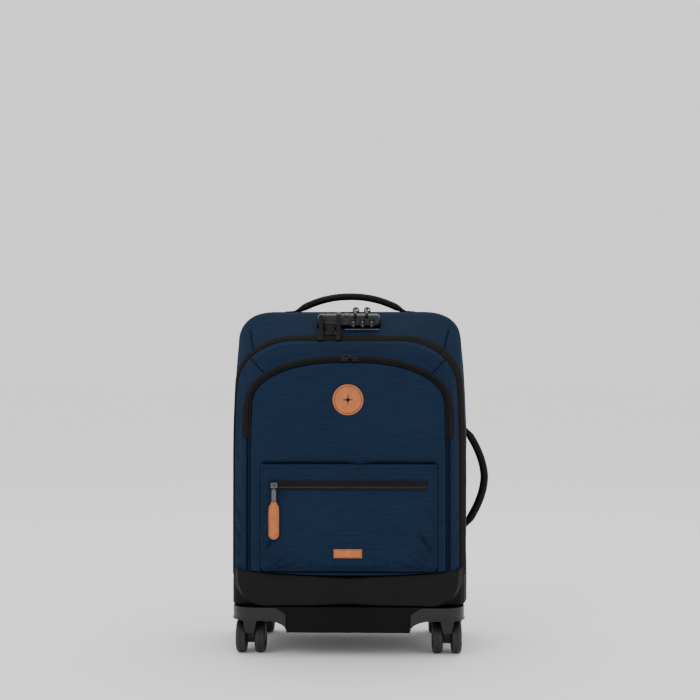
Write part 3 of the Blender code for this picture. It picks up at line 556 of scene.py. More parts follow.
def stud_row(points, centre, pitch, size, lift=0.0):
    """Small blocks along a path, such as stitches or zip teeth: size is (along, sideways, height) in mm."""
    bm = bmesh.new()
    bm.loops.layers.uv.new("cloth")
    for point, direction in spaced(points, pitch):
        away = point - centre
        normal = (away - direction * away.dot(direction)).normalized()
        side = direction.cross(normal)
        turn = Matrix((direction, side, normal)).transposed().to_4x4()
        place = Matrix.Translation(point + normal * (lift * MM)) @ turn
        bmesh.ops.create_cube(bm, size=1.0, matrix=place @ Matrix.Diagonal((*(s * MM for s in size), 1.0)))
    bmesh.ops.recalc_face_normals(bm, faces=bm.faces)
    return bm


def stitch_row(path, centre, lift=0.1, height=0.45):
    """A row of stitches, which stand lift mm off the path."""
    return stud_row(path, centre, sizes().stitch_pitch, (2.6, 0.45, height), lift)


def join(parts):
    """One bmesh from several."""
    whole = bmesh.new()
    for part in parts:
        mesh = mesh_of("part", part)
        whole.from_mesh(mesh)
        bpy.data.meshes.remove(mesh)
    return whole


def combine(bm, other, operation):
    """A Boolean of two closed bmeshes."""
    objects = [new_object("operand", mesh_of("operand", part)) for part in (bm, other)]
    target, tool = objects
    modifier = target.modifiers.new("combine", "BOOLEAN")
    modifier.operation, modifier.solver, modifier.object = operation, "EXACT", tool
    bpy.context.view_layer.update()
    result = bmesh.new()
    result.from_object(target, bpy.context.evaluated_depsgraph_get())
    for obj in objects:
        mesh = obj.data
        bpy.data.objects.remove(obj)
        bpy.data.meshes.remove(mesh)
    return result


def round_edges(bm, edges, radius, segments):
    bmesh.ops.bevel(
        bm, geom=edges, offset=radius * MM, segments=segments, profile=0.5, affect="EDGES", material=-1
    )


def block(low, high, radius=0.0, segments=2):
    """A box between two corners in case mm, with all edges rounded by radius mm."""
    bm = bmesh.new()
    size = [h - l for l, h in zip(low, high)]
    middle = [(h + l) / 2 for l, h in zip(low, high)]
    place = Matrix.Translation(at(*middle)) @ Matrix.Diagonal((*(s * MM for s in size), 1.0))
    bmesh.ops.create_cube(bm, size=1.0, matrix=place)
    if radius:
        round_edges(bm, bm.edges[:], radius, segments)
    return bm


def rod(radius, start, end, segments=32, bevel=0.0):
    """A round bar between two points in case mm; bevel rounds its end edges."""
    start, end = at(*start), at(*end)
    bm = bmesh.new()
    turn = (end - start).to_track_quat("Z", "Y").to_matrix().to_4x4()
    place = Matrix.Translation((start + end) / 2) @ turn
    bmesh.ops.create_cone(
        bm, cap_ends=True, segments=segments, radius1=radius * MM, radius2=radius * MM,
        depth=(end - start).length, matrix=place,
    )  # fmt: skip
    if bevel:
        axis = (end - start).normalized()
        rims = [e for e in bm.edges if abs((e.verts[0].co - e.verts[1].co).normalized().dot(axis)) < 0.5]
        round_edges(bm, rims, bevel, 3)
    return bm


def lathe_x(profile, centre, segments):
    """Pairs (x, radius) in mm spun round an axis along X through a centre in case mm."""
    bm = bmesh.new()
    x0, y0, z0 = centre
    verts = [bm.verts.new(at(x0 + x, y0, z0 - r)) for x, r in profile]
    edges = [bm.edges.new(pair) for pair in zip(verts, verts[1:])]
    bmesh.ops.spin(
        bm, geom=verts + edges, cent=at(*centre), axis=(1, 0, 0), angle=math.tau, steps=segments, use_merge=True
    )
    bmesh.ops.remove_doubles(bm, verts=bm.verts, dist=0.005 * MM)
    bmesh.ops.recalc_face_normals(bm, faces=bm.faces)
    return bm


def prism(outline, axis, start, end, radius=0.0, segments=2):
    """An outline of pairs in case mm extruded along X, Y or Z; radius rounds the two rims."""
    place = {
        "X": lambda a, b, c: at(c, a, b),
        "Y": lambda a, b, c: at(a, c, b),
        "Z": lambda a, b, c: at(a, b, c),
    }[axis]
    bm = bmesh.new()
    face = bm.faces.new([bm.verts.new(place(a, b, start)) for a, b in outline])
    pushed = bmesh.ops.extrude_face_region(bm, geom=[face])
    far = [v for v in pushed["geom"] if isinstance(v, bmesh.types.BMVert)]
    bmesh.ops.translate(bm, verts=far, vec=place(0, 0, end) - place(0, 0, start))
    bmesh.ops.recalc_face_normals(bm, faces=bm.faces)
    if radius:
        caps = [f for f in bm.faces if len(f.verts) == len(outline)]
        rims = list({e for f in caps for e in f.edges})
        round_edges(bm, rims, radius, segments)
    return bm


class PieceOperator:
    bl_options = {"REGISTER", "UNDO"}


def spread(low, high, count, ease=0.0):
    """count + 1 numbers from low to high; ease above 0 packs them towards both ends."""
    out = []
    for step in range(count + 1):
        share = step / count
        share += ease * (0.5 - 0.5 * math.cos(math.pi * share) - share)
        out.append(low + (high - low) * share)
    return out


def pillow(outline, middle, levels, height):
    """A closed outline of pairs (x, z) in mm filled with rings towards its middle: height(x, z, gap from the edge)
    gives y in mm. The UV map is flat, so the weave runs level."""
    rows = []
    for level in levels:
        row = []
        for x, z in outline:
            a = middle[0] + (x - middle[0]) * level
            b = middle[1] + (z - middle[1]) * level
            gap = math.hypot(x - a, z - b)
            row.append(at(a, height(a, b, gap), b))
        row.append(row[0])
        rows.append(row)
    bm = lattice(rows, closed=True, away_from=at(middle[0], 0, middle[1]))
    flat_uv(bm)
    return bm


def flat_uv(bm, axes=None):
    """Lays the weave flat on each face, level from the side that the face looks to."""
    layer = bm.loops.layers.uv.get("cloth") or bm.loops.layers.uv.new("cloth")
    bm.normal_update()
    for face in bm.faces:
        n = face.normal
        if axes:
            a, b = axes
        elif abs(n.y) >= abs(n.x) and abs(n.y) >= abs(n.z) * 0.7:
            a, b = 0, 2
        elif abs(n.x) >= abs(n.z):
            a, b = 1, 2
        else:
            a, b = 0, 1
        for loop in face.loops:
            loop[layer].uv = (loop.vert.co[a], loop.vert.co[b])


def box_outline(half_x, low, high, radii, steps=8, straight=(36, 20)):
    """A rectangle's outline as pairs, anticlockwise from the lower right corner; radii are (lower, upper)."""
    lower, upper = radii
    corners = [
        (half_x - lower, low + lower, lower, -90),
        (half_x - upper, high - upper, upper, 0),
        (-half_x + upper, high - upper, upper, 90),
        (-half_x + lower, low + lower, lower, 180),
    ]
    pairs = []
    for index, (x, z, radius, start) in enumerate(corners):
        for step in range(steps + 1):
            angle = math.radians(start + 90 * step / steps)
            pairs.append((x + radius * math.cos(angle), z + radius * math.sin(angle)))
        x, z, radius, start = corners[(index + 1) % 4]
        begin, turn = pairs[-1], math.radians(start)
        end = (x + radius * math.cos(turn), z + radius * math.sin(turn))
        count = straight[1] if index % 2 == 0 else straight[0]
        for step in range(1, count):
            pairs.append(tuple(b + (e - b) * step / count for b, e in zip(begin, end)))
    return pairs


def puff(bm, hold, pressure, cap, slack=0.02, stiffness=8.0, frames=20):
    """Lets a sewn sheet swell as real cloth does: hold(case point in mm) is 1 where it is sewn down and 0 where it is
    free, cap is the furthest that it may move in mm, and slack is how much longer the cloth is than its seams."""
    scene = bpy.context.scene
    mesh = bpy.data.meshes.new("swelling")
    bm.to_mesh(mesh)
    obj = new_object("swelling", mesh)
    group = obj.vertex_groups.new(name="sewn")
    start = [v.co.copy() for v in mesh.vertices]
    for vert in mesh.vertices:
        group.add([vert.index], min(1.0, max(0.0, hold((vert.co - CASE) / MM))), "REPLACE")
    cloth = obj.modifiers.new("cloth", "CLOTH")
    settings = cloth.settings
    settings.vertex_group_mass = group.name
    settings.quality, settings.mass = 6, 0.3
    settings.tension_stiffness = settings.compression_stiffness = stiffness
    settings.shear_stiffness, settings.bending_stiffness = stiffness / 2, 0.4
    settings.use_pressure, settings.uniform_pressure_force = True, pressure
    settings.shrink_min = -slack
    settings.effector_weights.gravity = 0.0
    cloth.point_cache.frame_start, cloth.point_cache.frame_end = 1, frames
    for frame_number in range(1, frames + 1):
        scene.frame_set(frame_number)
    done = obj.evaluated_get(bpy.context.evaluated_depsgraph_get()).data
    bm.verts.ensure_lookup_table()
    for vert, before, after in zip(bm.verts, start, done.vertices):
        move = after.co - before
        if move.length > cap * MM:
            move *= cap * MM / move.length
        vert.co = before + move * (1.0 - min(1.0, max(0.0, hold((before - CASE) / MM))))
    scene.frame_set(1)
    bpy.data.objects.remove(obj)
    bpy.data.meshes.remove(mesh)
    bm.normal_update()
    return bm


def apply_modifiers(obj):
    """Bakes an object's modifiers into its mesh."""
    bpy.context.view_layer.update()
    evaluated = obj.evaluated_get(bpy.context.evaluated_depsgraph_get())
    mesh = bpy.data.meshes.new_from_object(evaluated)
    obj.modifiers.clear()
    obj.data = mesh


def cut_piece(obj, cutter):
    """Cuts a closed bmesh out of a piece, walls and all."""
    tool = new_object("cutter", mesh_of("cutter", cutter))
    modifier = obj.modifiers.new("cut", "BOOLEAN")
    modifier.operation, modifier.solver, modifier.object = "DIFFERENCE", "EXACT", tool
    apply_modifiers(obj)
    bpy.data.objects.remove(tool)
    obj.data.set_sharp_from_angle(angle=math.radians(40))


def split_level(bm, z):
    """Cuts a level edge line round a shell, so that two cloths can meet along it."""
    geom = [*bm.verts, *bm.edges, *bm.faces]
    bmesh.ops.bisect_plane(bm, geom=geom, plane_co=at(0, 0, z), plane_no=(0, 0, 1), dist=0.01 * MM)


def two_looks(obj, looks, pick):
    """Gives a shell several outer finishes and one lining: pick(face centre in case mm) says which."""
    mesh = obj.data
    mesh.materials.clear()
    for look in looks[:-1]:
        mesh.materials.append(finish(look))
    for _ in looks[:-1]:
        mesh.materials.append(finish(looks[-1]))
    obj.modifiers["wall"].material_offset = len(looks) - 1
    for polygon in mesh.polygons:
        polygon.material_index = pick((polygon.center - CASE) / MM)


# ---------------------------------------------------------------- the soft shells
LOWER_CORNER = 5.0
RING_LOW = BODY_LOW + LOWER_CORNER
INNER_LEVELS = (0.82, 0.74, 0.66, 0.58, 0.5, 0.42, 0.34, 0.26, 0.18, 0.1, 0.0)


def body_ring(inset, y, low=BODY_LOW):
    return row_at(close_below(arch(BODY, inset, low + LOWER_CORNER), low), y)


def beside_hinge(x):
    """1 on the side where the lid folds back against the case, and 0 elsewhere."""
    return smooth_share(-x, 140.0, 172.0)


def tucked(points):
    """Draws a cord in beside the hinge, so that the open lid has room."""
    return [Vector((p.x + 1.5 * MM * beside_hinge((p.x - CASE.x) / MM), p.y, p.z)) for p in points]


def clear_of_hinge(p):
    return beside_hinge((p.x - CASE.x) / MM) < 0.2


def below_skirt(p):
    """1 where a shell's face, given in case mm, is in the black skirt, and 0 above it."""
    return int(p.z < SKIRT_TOP)


def sides_turned(rows, share):
    """Says which columns of a ring are cut the other way of the grain: the side walls, up to their mitres."""
    left, right = mitre_column(rows, share)
    return lambda column: not left <= column < right


def rear_rows():
    stations = ((-18.3, 0.0), (92.0, 0.0), (96.0, 0.6), (99.0, 2.0), (101.5, 4.0), (103.3, 6.6))
    depths = spread(-18.3, 92.0, 22) + [94.0, 96.0, 97.6, 99.0, 100.4, 101.5, 102.5, 103.3]
    rows = [body_ring(inset, y, BODY_LOW + inset) for inset, y in ((through(stations, y)[0], y) for y in depths)]
    bulge, ripple = sizes().bulge / MM, sizes().crumple / MM

    def amount(p, share, column):
        hold = smooth_share(514.0 - p.z, 0.0, 30.0) * smooth_share(p.z, 80.0, 110.0)
        puff = math.sin(math.pi * min(1.0, max(0.0, (p.y + 18.0) / 118.0)))
        swell = bulge * 0.7 + ripple * crumple(p, 70.0, 3.0) + 0.3 * crumple(p, 26.0, 8.0)
        return hold * puff * (swell - (swell + 0.6) * beside_hinge(p.x))

    return soften(rows, amount, ring=True)


LID_STATIONS = ((-29.7, 0.0), (-44.0, 0.06), (-66.0, 0.55), (-86.0, 1.0))


def lid_ring(y):
    share = through([(-s[0], s[1]) for s in LID_STATIONS], -y)[0]
    pairs = mix_pairs(arch(BODY, 0.0, RING_LOW), arch(SEAM, 0.0, RING_LOW), share)
    return row_at(close_below(pairs, BODY_LOW), y)


def lid_rows():
    rows = [lid_ring(y) for y in spread(-29.7, -86.0, 26)]
    ripple = sizes().crumple / MM

    def amount(p, share, column):
        puff = math.sin(math.pi * share)
        sides = smooth_share(abs(p.x), 120.0, 170.0)
        near_lock = 1.0 - smooth_share(abs(p.x), 50.0, 80.0)
        top = smooth_share(p.z, 440.0, 480.0)
        quiet = 1.0 - near_lock * top
        swell = 0.9 + 1.0 * sides + ripple * crumple(p, 48.0, 5.0) + 0.35 * crumple(p, 17.0, 2.0)
        return puff * quiet * (swell - (swell + 0.3) * beside_hinge(p.x))

    return soften(rows, amount, ring=True)


def mitre_column(rows, share):
    """The columns (left, right) at a share of the way from the shoulder to the flat top of a ring."""
    left = 6 + 18 + STEPS[0] + int(STEPS[1] * share)
    return left, len(rows[0]) - 1 - left


def well_hole(bm):
    """Opens the top for the pull handle's well."""
    half, front, back, above = 79.5, 47.5, 98.3, 505
    for co, no in (
        ((-half, 0, 0), (1, 0, 0)), ((half, 0, 0), (1, 0, 0)), ((0, front, 0), (0, 1, 0)), ((0, back, 0), (0, 1, 0)),
    ):  # fmt: skip
        near = [f for f in bm.faces if f.calc_center_median().z > above * MM]
        geom = list({g for f in near for g in (*f.verts, *f.edges)}) + near
        bmesh.ops.bisect_plane(bm, geom=geom, plane_co=at(*co), plane_no=no, dist=0.001 * MM)
    doomed = []
    for face in bm.faces:
        p = (face.calc_center_median() - CASE) / MM
        if p.z > above and abs(p.x) < half and front < p.y < back:
            doomed.append(face)
    bmesh.ops.delete(bm, geom=doomed, context="FACES")


class SUITCASE_OT_rear_shell(PieceOperator, bpy.types.Operator):
    """Sews the rear shell: the navy wall, its black skirt, the back panel and the seams between them"""

    bl_idname = "suitcase.rear_shell"
    bl_label = "Rear shell"

    def execute(self, context):
        rows = rear_rows()
        bm = lattice(rows, closed=True, turned=sides_turned(rows, 0.5))
        well_hole(bm)
        split_level(bm, SKIRT_TOP)
        shell = add_piece("rear_shell", bm, "case", "navy", ["rear_gusset"], wall=sizes().cloth, inside="lining")
        two_looks(shell, ("navy", "coated", "lining"), below_skirt)
        self.build_back(rows)
        centre = at(0, 40, 290)
        for name, radius, inset, y in (("back_piping", 1.9, 4.6, 102.2), ("zip_piping_rear", 1.0, -0.2, -17.2)):
            ring = tucked(body_ring(inset, y, BODY_LOW + max(0.0, inset))[:-1])
            cord = closed_sweep(round_section(radius, steps=10), ring, centre)
            add_piece(name, cord, "case", "coated" if name == "back_piping" else "navy")
        band = [p for p in rows[2] if p.z > 90 * MM and clear_of_hinge(p)]
        add_piece("rear_shell_stitches", stitch_row(band, centre), "case", "navy_thread")
        return {"FINISHED"}

    def build_back(self, rows):
        """The flat back panel, black below and navy above, with a sewn border."""
        outline = close_below(arch(BODY, 6.4, RING_LOW + 4), BODY_LOW + 6)[:-1]
        levels = (1.0, 0.992, 0.984, 0.976, 0.968, 0.95, 0.9, *INNER_LEVELS)
        bm = pillow(outline, (0, 290), levels, lambda x, z, gap: 103.2 + 3.8 * smooth_share(gap, -0.5, 4.5))
        bmesh.ops.reverse_faces(bm, faces=bm.faces)
        turn_out(bm, at(0, 0, 290))
        split_level(bm, SKIRT_TOP)
        panel = add_piece("back_cloth", bm, "case", "navy", ["back_panel"], wall=sizes().cloth, inside="lining")
        two_looks(panel, ("navy", "coated", "lining"), below_skirt)


class SUITCASE_OT_lid_shell(PieceOperator, bpy.types.Operator):
    """Sews the lid's sloping wall, cut for the lock, with its mitred corner seams and black skirt"""

    bl_idname = "suitcase.lid_shell"
    bl_label = "Lid shell"

    def execute(self, context):
        rows = lid_rows()
        bm = lattice(rows, closed=True, turned=sides_turned(rows, 0.5))
        split_level(bm, SKIRT_TOP)
        shell = add_piece("lid_shell", bm, "lid", "navy", ["lid_gusset"], wall=sizes().cloth, inside="lining")
        two_looks(shell, ("navy", "coated", "lining"), below_skirt)
        for radius, low, high, y, z in ((12.6, -48.0, 48.0, LOCK_Y, LOCK_Z), (9.4, 2.4, 39.6, DIAL_Y, DIAL_Z)):
            cut_piece(shell, rod(radius, (low, y, z), (high, y, z), 48))
        centre = at(0, -60, 290)
        seams = []
        for column in mitre_column(rows, 0.5):
            path = [row[column] for row in rows[13:]]
            seams.append(sweep(round_section(0.9, steps=8), path, path_normals(path, centre)))
        # The corner seams' dark colour is painted shade in the folds.
        add_piece("lid_corner_seams", join(seams), "lid", "seam")
        ring = tucked(lid_ring(-30.8)[:-1])
        add_piece("zip_piping_lid", closed_sweep(round_section(1.0, steps=10), ring, centre), "lid", "navy")
        shown = [[p for p in rows[j] if p.z > 92 * MM and not hidden_by_lock(p)] for j in (2, -3)]
        shown[0] = [p for p in shown[0] if clear_of_hinge(p)]
        add_piece("lid_shell_stitches", join([stitch_row(line, centre) for line in shown]), "lid", "navy_thread")
        self.build_lining()
        return {"FINISHED"}

    def build_lining(self):
        """The lid's lining, seen when the case is open."""
        outline = close_below(arch(SEAM, 7.5, RING_LOW + 6), BODY_LOW + 6)[:-1]
        levels = (1.0, 0.985, 0.97, 0.94, 0.9, *INNER_LEVELS)
        bm = pillow(outline, (0, 290), levels, lambda x, z, gap: -83.9 + 0.5 * crumple(Vector((x, 0, z)), 60.0, 4.0))
        turn_out(bm, at(0, -200, 290))
        lining = add_piece("lid_lining", bm, "lid", "lining", wall=0.6 * MM, inside="lining")
        turned = zip(outline, outline[1:] + outline[:1])
        area = abs(sum(a[0] * b[1] - b[0] * a[1] for a, b in turned)) / 2


def hidden_by_lock(p):
    q = (p - CASE) / MM
    return abs(q.x) < 50 and math.hypot(q.y - LOCK_Y, q.z - LOCK_Z) < 13.5


# ---------------------------------------------------------------- zips
def zip_strip(name, rows_a, rows_b, body, replaces):
    """A zip seen from outside: two crowned tapes that meet over a coil. rows_a and rows_b are its two edges."""
    profile = (
        (0.0, -1.5), (0.0, 0.3), (0.02, 0.6), (0.08, 0.8), (0.34, 1.05), (0.56, 0.95), (0.62, 0.6), (0.65, -0.6),
        (0.75, -0.7), (0.78, 0.2), (0.82, 0.5), (0.88, 0.6), (0.94, 0.55), (0.98, 0.4), (1.0, 0.1), (1.0, -1.5),
    )  # fmt: skip
    rows = []
    for index, (a, b) in enumerate(zip(rows_a, rows_b)):
        before, after = rows_a[max(index - 1, 0)], rows_a[min(index + 1, len(rows_a) - 1)]
        normal = (b - a).cross(after - before).normalized()
        rows.append([a + (b - a) * u + normal * (v * MM) for u, v in profile])
    bm = lattice(rows)
    middle = rows[len(rows) // 2]
    lifted = (middle[4] - (middle[0] + middle[-1]) / 2).normalized()
    top_face = min(bm.faces, key=lambda f: (f.calc_center_median() - middle[4]).length)
    if top_face.normal.dot(lifted) < 0:
        bmesh.ops.reverse_faces(bm, faces=bm.faces)
    add_piece(name, bm, body, "tape", replaces)


def seam_zip_edges():
    """The outer zip's two edges, down to the skirt."""
    low = SKIRT_TOP - 4.0
    outer, narrow, wide = arch(SEAM, -1.2, low), arch(SEAM, 2.4, low), arch(SEAM, 11.6, low)
    last = len(outer) - 1
    inner, edge = [], []
    for index, (o, a, b) in enumerate(zip(outer, narrow, wide)):
        # The strip is widest over the top, and its left leg is sewn nearer to the side than its right one.
        share = index / last
        right = smooth_share(share, 0.62, 0.76)
        width = smooth_share(share, 0.26, 0.46) - 0.2 * right
        x, z = mix(a, b, width)
        inner.append(at(x, -90.4 - 4.2 * width, z))
        edge.append(at(o[0] + 1.6 * right, -85.6 + 3.0 * right, o[1]))
    return edge, inner


def legs_wider(over_top, down_legs):
    """An edge that follows one outline over the top and changes to another down its two legs."""
    last = len(over_top) - 1
    return [
        mix(a, b, smooth_share(abs(index / last - 0.5), 0.16, 0.3))
        for index, (a, b) in enumerate(zip(over_top, down_legs))
    ]


def coil_ticks(name, edge_a, edge_b):
    """The sewn ticks of the coil that show along a zip's slit."""
    slit = [a + (b - a) * 0.7 for a, b in zip(edge_a, edge_b)]
    ticks = stud_row(slit, at(0, 60, 290), sizes().tooth_pitch, (1.3, 1.3, 0.8), -0.4)
    add_piece(name, ticks, "lid", "thread")


class SUITCASE_OT_zips(PieceOperator, bpy.types.Operator):
    """Sews in the main zip's two halves, the compartment's arched zip and the front pocket's zip"""

    bl_idname = "suitcase.zips"
    bl_label = "Zips"

    def execute(self, context):
        outer, inner = seam_zip_edges()
        zip_strip("compartment_zip", outer, inner, "lid", ["outer_zip"])
        coil_ticks("compartment_zip_coil", outer, inner)
        outer, inner = (
            row_at(legs_wider(arch(shape, 0.0, PANEL_ZIP_FOOT), arch(shape, inset, PANEL_ZIP_FOOT)), y)
            for shape, inset, y in ((PANEL, -2.6, -109.2), (PANEL_ZIP_INNER, 1.4, -110.8))
        )
        zip_strip("front_pocket_zip", outer, inner, "lid", ["inner_zip"])
        coil_ticks("front_pocket_zip_coil", outer, inner)
        for name, near, far, body, node in (
            ("main_zip_tape_rear", -17.6, -23.3, "case", "main_zip_rear"),
            ("main_zip_tape_lid", -30.4, -24.7, "lid", "main_zip_lid"),
        ):
            self.half(name, near, far, body, node)
        return {"FINISHED"}

    def half(self, name, near, far, body, node):
        """One tape of the main zip and its row of teeth."""
        sign = 1.0 if far > near else -1.0
        profile = ((0.0, 0.0), (0.1, 0.5), (0.75, 0.4), (1.0, 0.1), (1.0, -0.9), (0.0, -1.1))
        rows = []
        for u, v in [*profile, profile[0]]:
            pairs = close_below(arch(BODY, 0.9 - v, RING_LOW), BODY_LOW)
            rows.append(row_at(pairs, near + (far - near) * u))
        bm = lattice(rows, closed=True)
        bmesh.ops.recalc_face_normals(bm, faces=bm.faces)
        add_piece(name, bm, body, "tape", [node])
        path = row_at(close_below(arch(BODY, 1.2, RING_LOW), BODY_LOW), far + sign * 0.2)
        if body == "lid":
            # The lid's teeth stand in the gaps between the case's.
            path[0] = path[0] + (path[1] - path[0]).normalized() * (sizes().tooth_pitch / 2)
        teeth = stud_row(path, at(0, ZIP_MIDDLE, 290), sizes().tooth_pitch, (1.15, 2.0, 1.8), -0.1)
        add_piece(name.replace("tape", "teeth"), teeth, body, "thread")


# ---------------------------------------------------------------- the lid's front
def compartment_rows():
    # Each station is a depth, which outline it follows, its inset, and its inset down the left leg.
    stations = (
        (-84.0, SEAM, 7.5, 3.0), (-92.2, SEAM, 7.0, 2.6), (-93.8, SEAM, 8.2, 3.6), (-96.5, SEAM, 11.0, 8.0),
        (-98.0, SEAM, 12.4, 10.8), (-105.0, PANEL, -3.0, -3.0), (-107.5, PANEL, -1.0, -1.0), (-108.6, PANEL, 1.5, 1.5),
        (-108.6, PANEL, 9.6, 9.6),
    )  # fmt: skip
    rows, outlines = [], []
    for y, shape, inset, left_inset in stations:
        usual, left = arch(shape, inset, ARCH_FOOT), arch(shape, left_inset, ARCH_FOOT)
        last = len(usual) - 1
        shares = [1.0 - smooth_share(index / last, 0.26, 0.46) for index in range(last + 1)]
        outlines.append((y, [mix(a, b, share) for a, b, share in zip(usual, left, shares)]))
    for (y0, before), (y1, after) in zip(outlines, outlines[1:]):
        steps = 8 if (y0, y1) == (-98.0, -105.0) else 2
        for step in range(steps):
            share = step / steps
            rows.append(row_at(mix_pairs(before, after, share), y0 + (y1 - y0) * share))
    rows.append(row_at(outlines[-1][1], outlines[-1][0]))
    return rows


def fold(p, start, end, width, height):
    """A soft ridge of a crease that runs between two points (x, z), fading at its ends."""
    ax, az = start
    dx, dz = end[0] - ax, end[1] - az
    length = math.hypot(dx, dz)
    along = ((p.x - ax) * dx + (p.z - az) * dz) / length
    off = abs((p.x - ax) * dz - (p.z - az) * dx) / length
    share = along / length
    if not 0.0 < share < 1.0:
        return 0.0
    return height * math.sin(math.pi * share) * math.exp(-((off / width) ** 2))


def compartment_amount(p, share, column):
    puff = math.sin(math.pi * min(1.0, max(0.0, (-p.y - 92.5) / 16.0)))
    top = smooth_share(p.z, 430.0, 452.0)
    side = 1.0 - smooth_share(p.z, 380.0, 430.0)
    lift = 1.6 * top + 1.8 * side + 0.7
    for sign in (-1.0, 1.0):
        q = Vector((p.x * sign, p.y, p.z))
        lift -= fold(q, (104.0, 436.0), (134.0, 446.0), 3.0, 2.6)
        lift += fold(q, (96.0, 448.0), (132.0, 452.0), 4.0, 1.8)
        lift += fold(q, (120.0, 424.0), (150.0, 430.0), 4.0, 1.8)
        for z, height in ((146.0, 2.2), (172.0, 3.2), (204.0, 2.8), (240.0, 1.8), (290.0, 1.2)):
            lift += fold(q, (151.0, z - 22.0), (174.0, z + 20.0), 4.2, height)
            lift -= fold(q, (151.0, z - 10.0), (174.0, z + 32.0), 3.6, height * 0.9)
    return puff * (lift + 0.9 * crumple(p, 30.0, 6.0)) + puff * 0.4 * crumple(p, 12.0, 1.0)


class SUITCASE_OT_compartment(PieceOperator, bpy.types.Operator):
    """Sews the padded front compartment between the two arched zips"""

    bl_idname = "suitcase.compartment"
    bl_label = "Front compartment"

    def execute(self, context):
        rows = soften(compartment_rows(), compartment_amount)
        side_columns = STEPS[0] + int(STEPS[1] * 0.45)
        last = len(rows[0]) - 1
        bm = lattice(rows, turned=lambda c: c < side_columns or c >= last - side_columns)
        wall = sizes().cloth * 0.8
        piece = add_piece("compartment_cloth", bm, "lid", "navy", ["front_compartment"], wall=wall, inside="lining")
        centre = at(0, -60, 290)
        seams = []
        for column in (side_columns, last - side_columns):
            path = [row[column] for row in rows[3:-2]]
            seams.append(sweep(round_section(0.8, steps=8), path, path_normals(path, centre)))
        # The pocket's side seams go on down from the feet of its zip.
        for side in (-1, 1):
            path = [at(side * (PANEL[0] - 4.4), -109.6, z) for z in spread(guard_top(PANEL[0]), 329.0, 60)]
            seams.append(flat_sweep(round_section(0.9, steps=8), path))
        # These seams' dark colour is painted shade along the creases.
        add_piece("compartment_seams", join(seams), "lid", "seam")
        return {"FINISHED"}


def panel_height(x, z, gap):
    if gap < 0.01:
        return -108.2
    edge = smooth_share(gap, -1.5, 3.5)
    quiet = smooth_share(math.hypot(x, z - BADGE_Z), 24.0, 50.0)
    wave = 0.9 * crumple(Vector((x, 0, z)), 55.0, 7.0) + 0.25 * crumple(Vector((x, 0, z)), 16.0, 2.0)
    return -109.5 - edge * 5.6 - smooth_share(gap, 2.0, 20.0) * (0.4 + quiet * wave * 0.6)


class SUITCASE_OT_front_panel(PieceOperator, bpy.types.Operator):
    """Sews the front pocket's padded face"""

    bl_idname = "suitcase.front_panel"
    bl_label = "Front panel"

    def execute(self, context):
        foot = guard_top(PANEL[0] - PANEL_INSET)
        upper = arch(PANEL, PANEL_INSET, foot)
        floor = [(x, guard_top(x)) for x in spread(abs(upper[0][0]), -abs(upper[0][0]), 40)[1:-1]]
        outline = upper + floor
        levels = [1.0, 0.995, 0.99, 0.983, 0.975, 0.965, 0.95, 0.93, 0.9] + spread(0.86, 0.0, 20)
        bm = pillow(outline, (0, 290), levels, panel_height)
        panel = add_piece("panel_cloth", bm, "lid", "navy", ["front_panel"])
        path = row_at(arch(PANEL, PANEL_INSET + 3.0, foot + 3.0), -113.9)
        add_piece("panel_stitches", stitch_row(path, at(0, 200, 290), 0.0, 0.4), "lid", "navy_thread")
        return {"FINISHED"}


POCKET_X, POCKET_Z = (-130.6, 132.8), (129.6, 291.0)


def pocket_gap(x, z):
    return max(0.0, min(x - POCKET_X[0], POCKET_X[1] - x, z - POCKET_Z[0], POCKET_Z[1] - z))


def round_corner(x, z):
    """Draws a point of the pocket's square grid in to its rounded corners."""
    radius = 9.0 if z < 200 else 3.5
    cx = max(POCKET_X[0] + radius, min(POCKET_X[1] - radius, x))
    cz = max(POCKET_Z[0] + radius, min(POCKET_Z[1] - radius, z))
    reach = math.hypot(x - cx, z - cz)
    if x == cx or z == cz or reach < 1e-6:
        return x, z
    square = max(abs(x - cx), abs(z - cz))
    return cx + (x - cx) * square / reach, cz + (z - cz) * square / reach


def pocket_height(x, z, gap):
    """The patch pocket's face: sewn flat at its sides and foot, with a loose pleat in each lower corner."""
    low, high = POCKET_Z
    edge = smooth_share(gap, -1.0, 9.0) if z < 285 else smooth_share(gap, -1.0, 4.0)
    share = min(1.0, max(0.0, (z - low) / (high - low)))
    belly = math.sin(math.pi * share**0.64) ** 0.8
    foot = smooth_share(z, low - 1.0, low + 15.0)
    out = 5.8 * edge * (0.35 + 0.65 * foot) + 6.0 * foot * belly * smooth_share(130.6 - abs(x), 0.0, 50.0)
    zip_gap = abs(z - POCKET_ZIP_Z)
    flat = math.exp(-((zip_gap / 13.0) ** 2)) * smooth_share(118.0 - abs(x), -8.0, 6.0)
    out += (7.2 - out) * 0.9 * flat
    soft = 1.0 - flat
    for sign in (-1.0, 1.0):
        q = Vector((x * sign, 0, z))
        out += soft * fold(q, (129.0, 131.0), (74.0, 172.0), 4.2, 6.0)
        out -= soft * fold(q, (131.0, 146.0), (94.0, 204.0), 4.0, 5.6)
        out -= soft * fold(q, (112.0, 130.0), (54.0, 150.0), 3.4, 5.0)
        out += soft * fold(q, (131.0, 172.0), (106.0, 232.0), 5.0, 3.0)
    out += soft * edge * (0.9 * crumple(Vector((x, 0, z)), 34.0, 9.0) + 0.3 * crumple(Vector((x, 0, z)), 13.0, 4.0))
    # The name tag is sewn flat to the cloth.
    tag = (1.0 - smooth_share(abs(z - TAG_Z), 8.0, 22.0)) * (1.0 - smooth_share(abs(x), 22.0, 46.0))
    return -115.2 - out - (9.4 - out) * tag


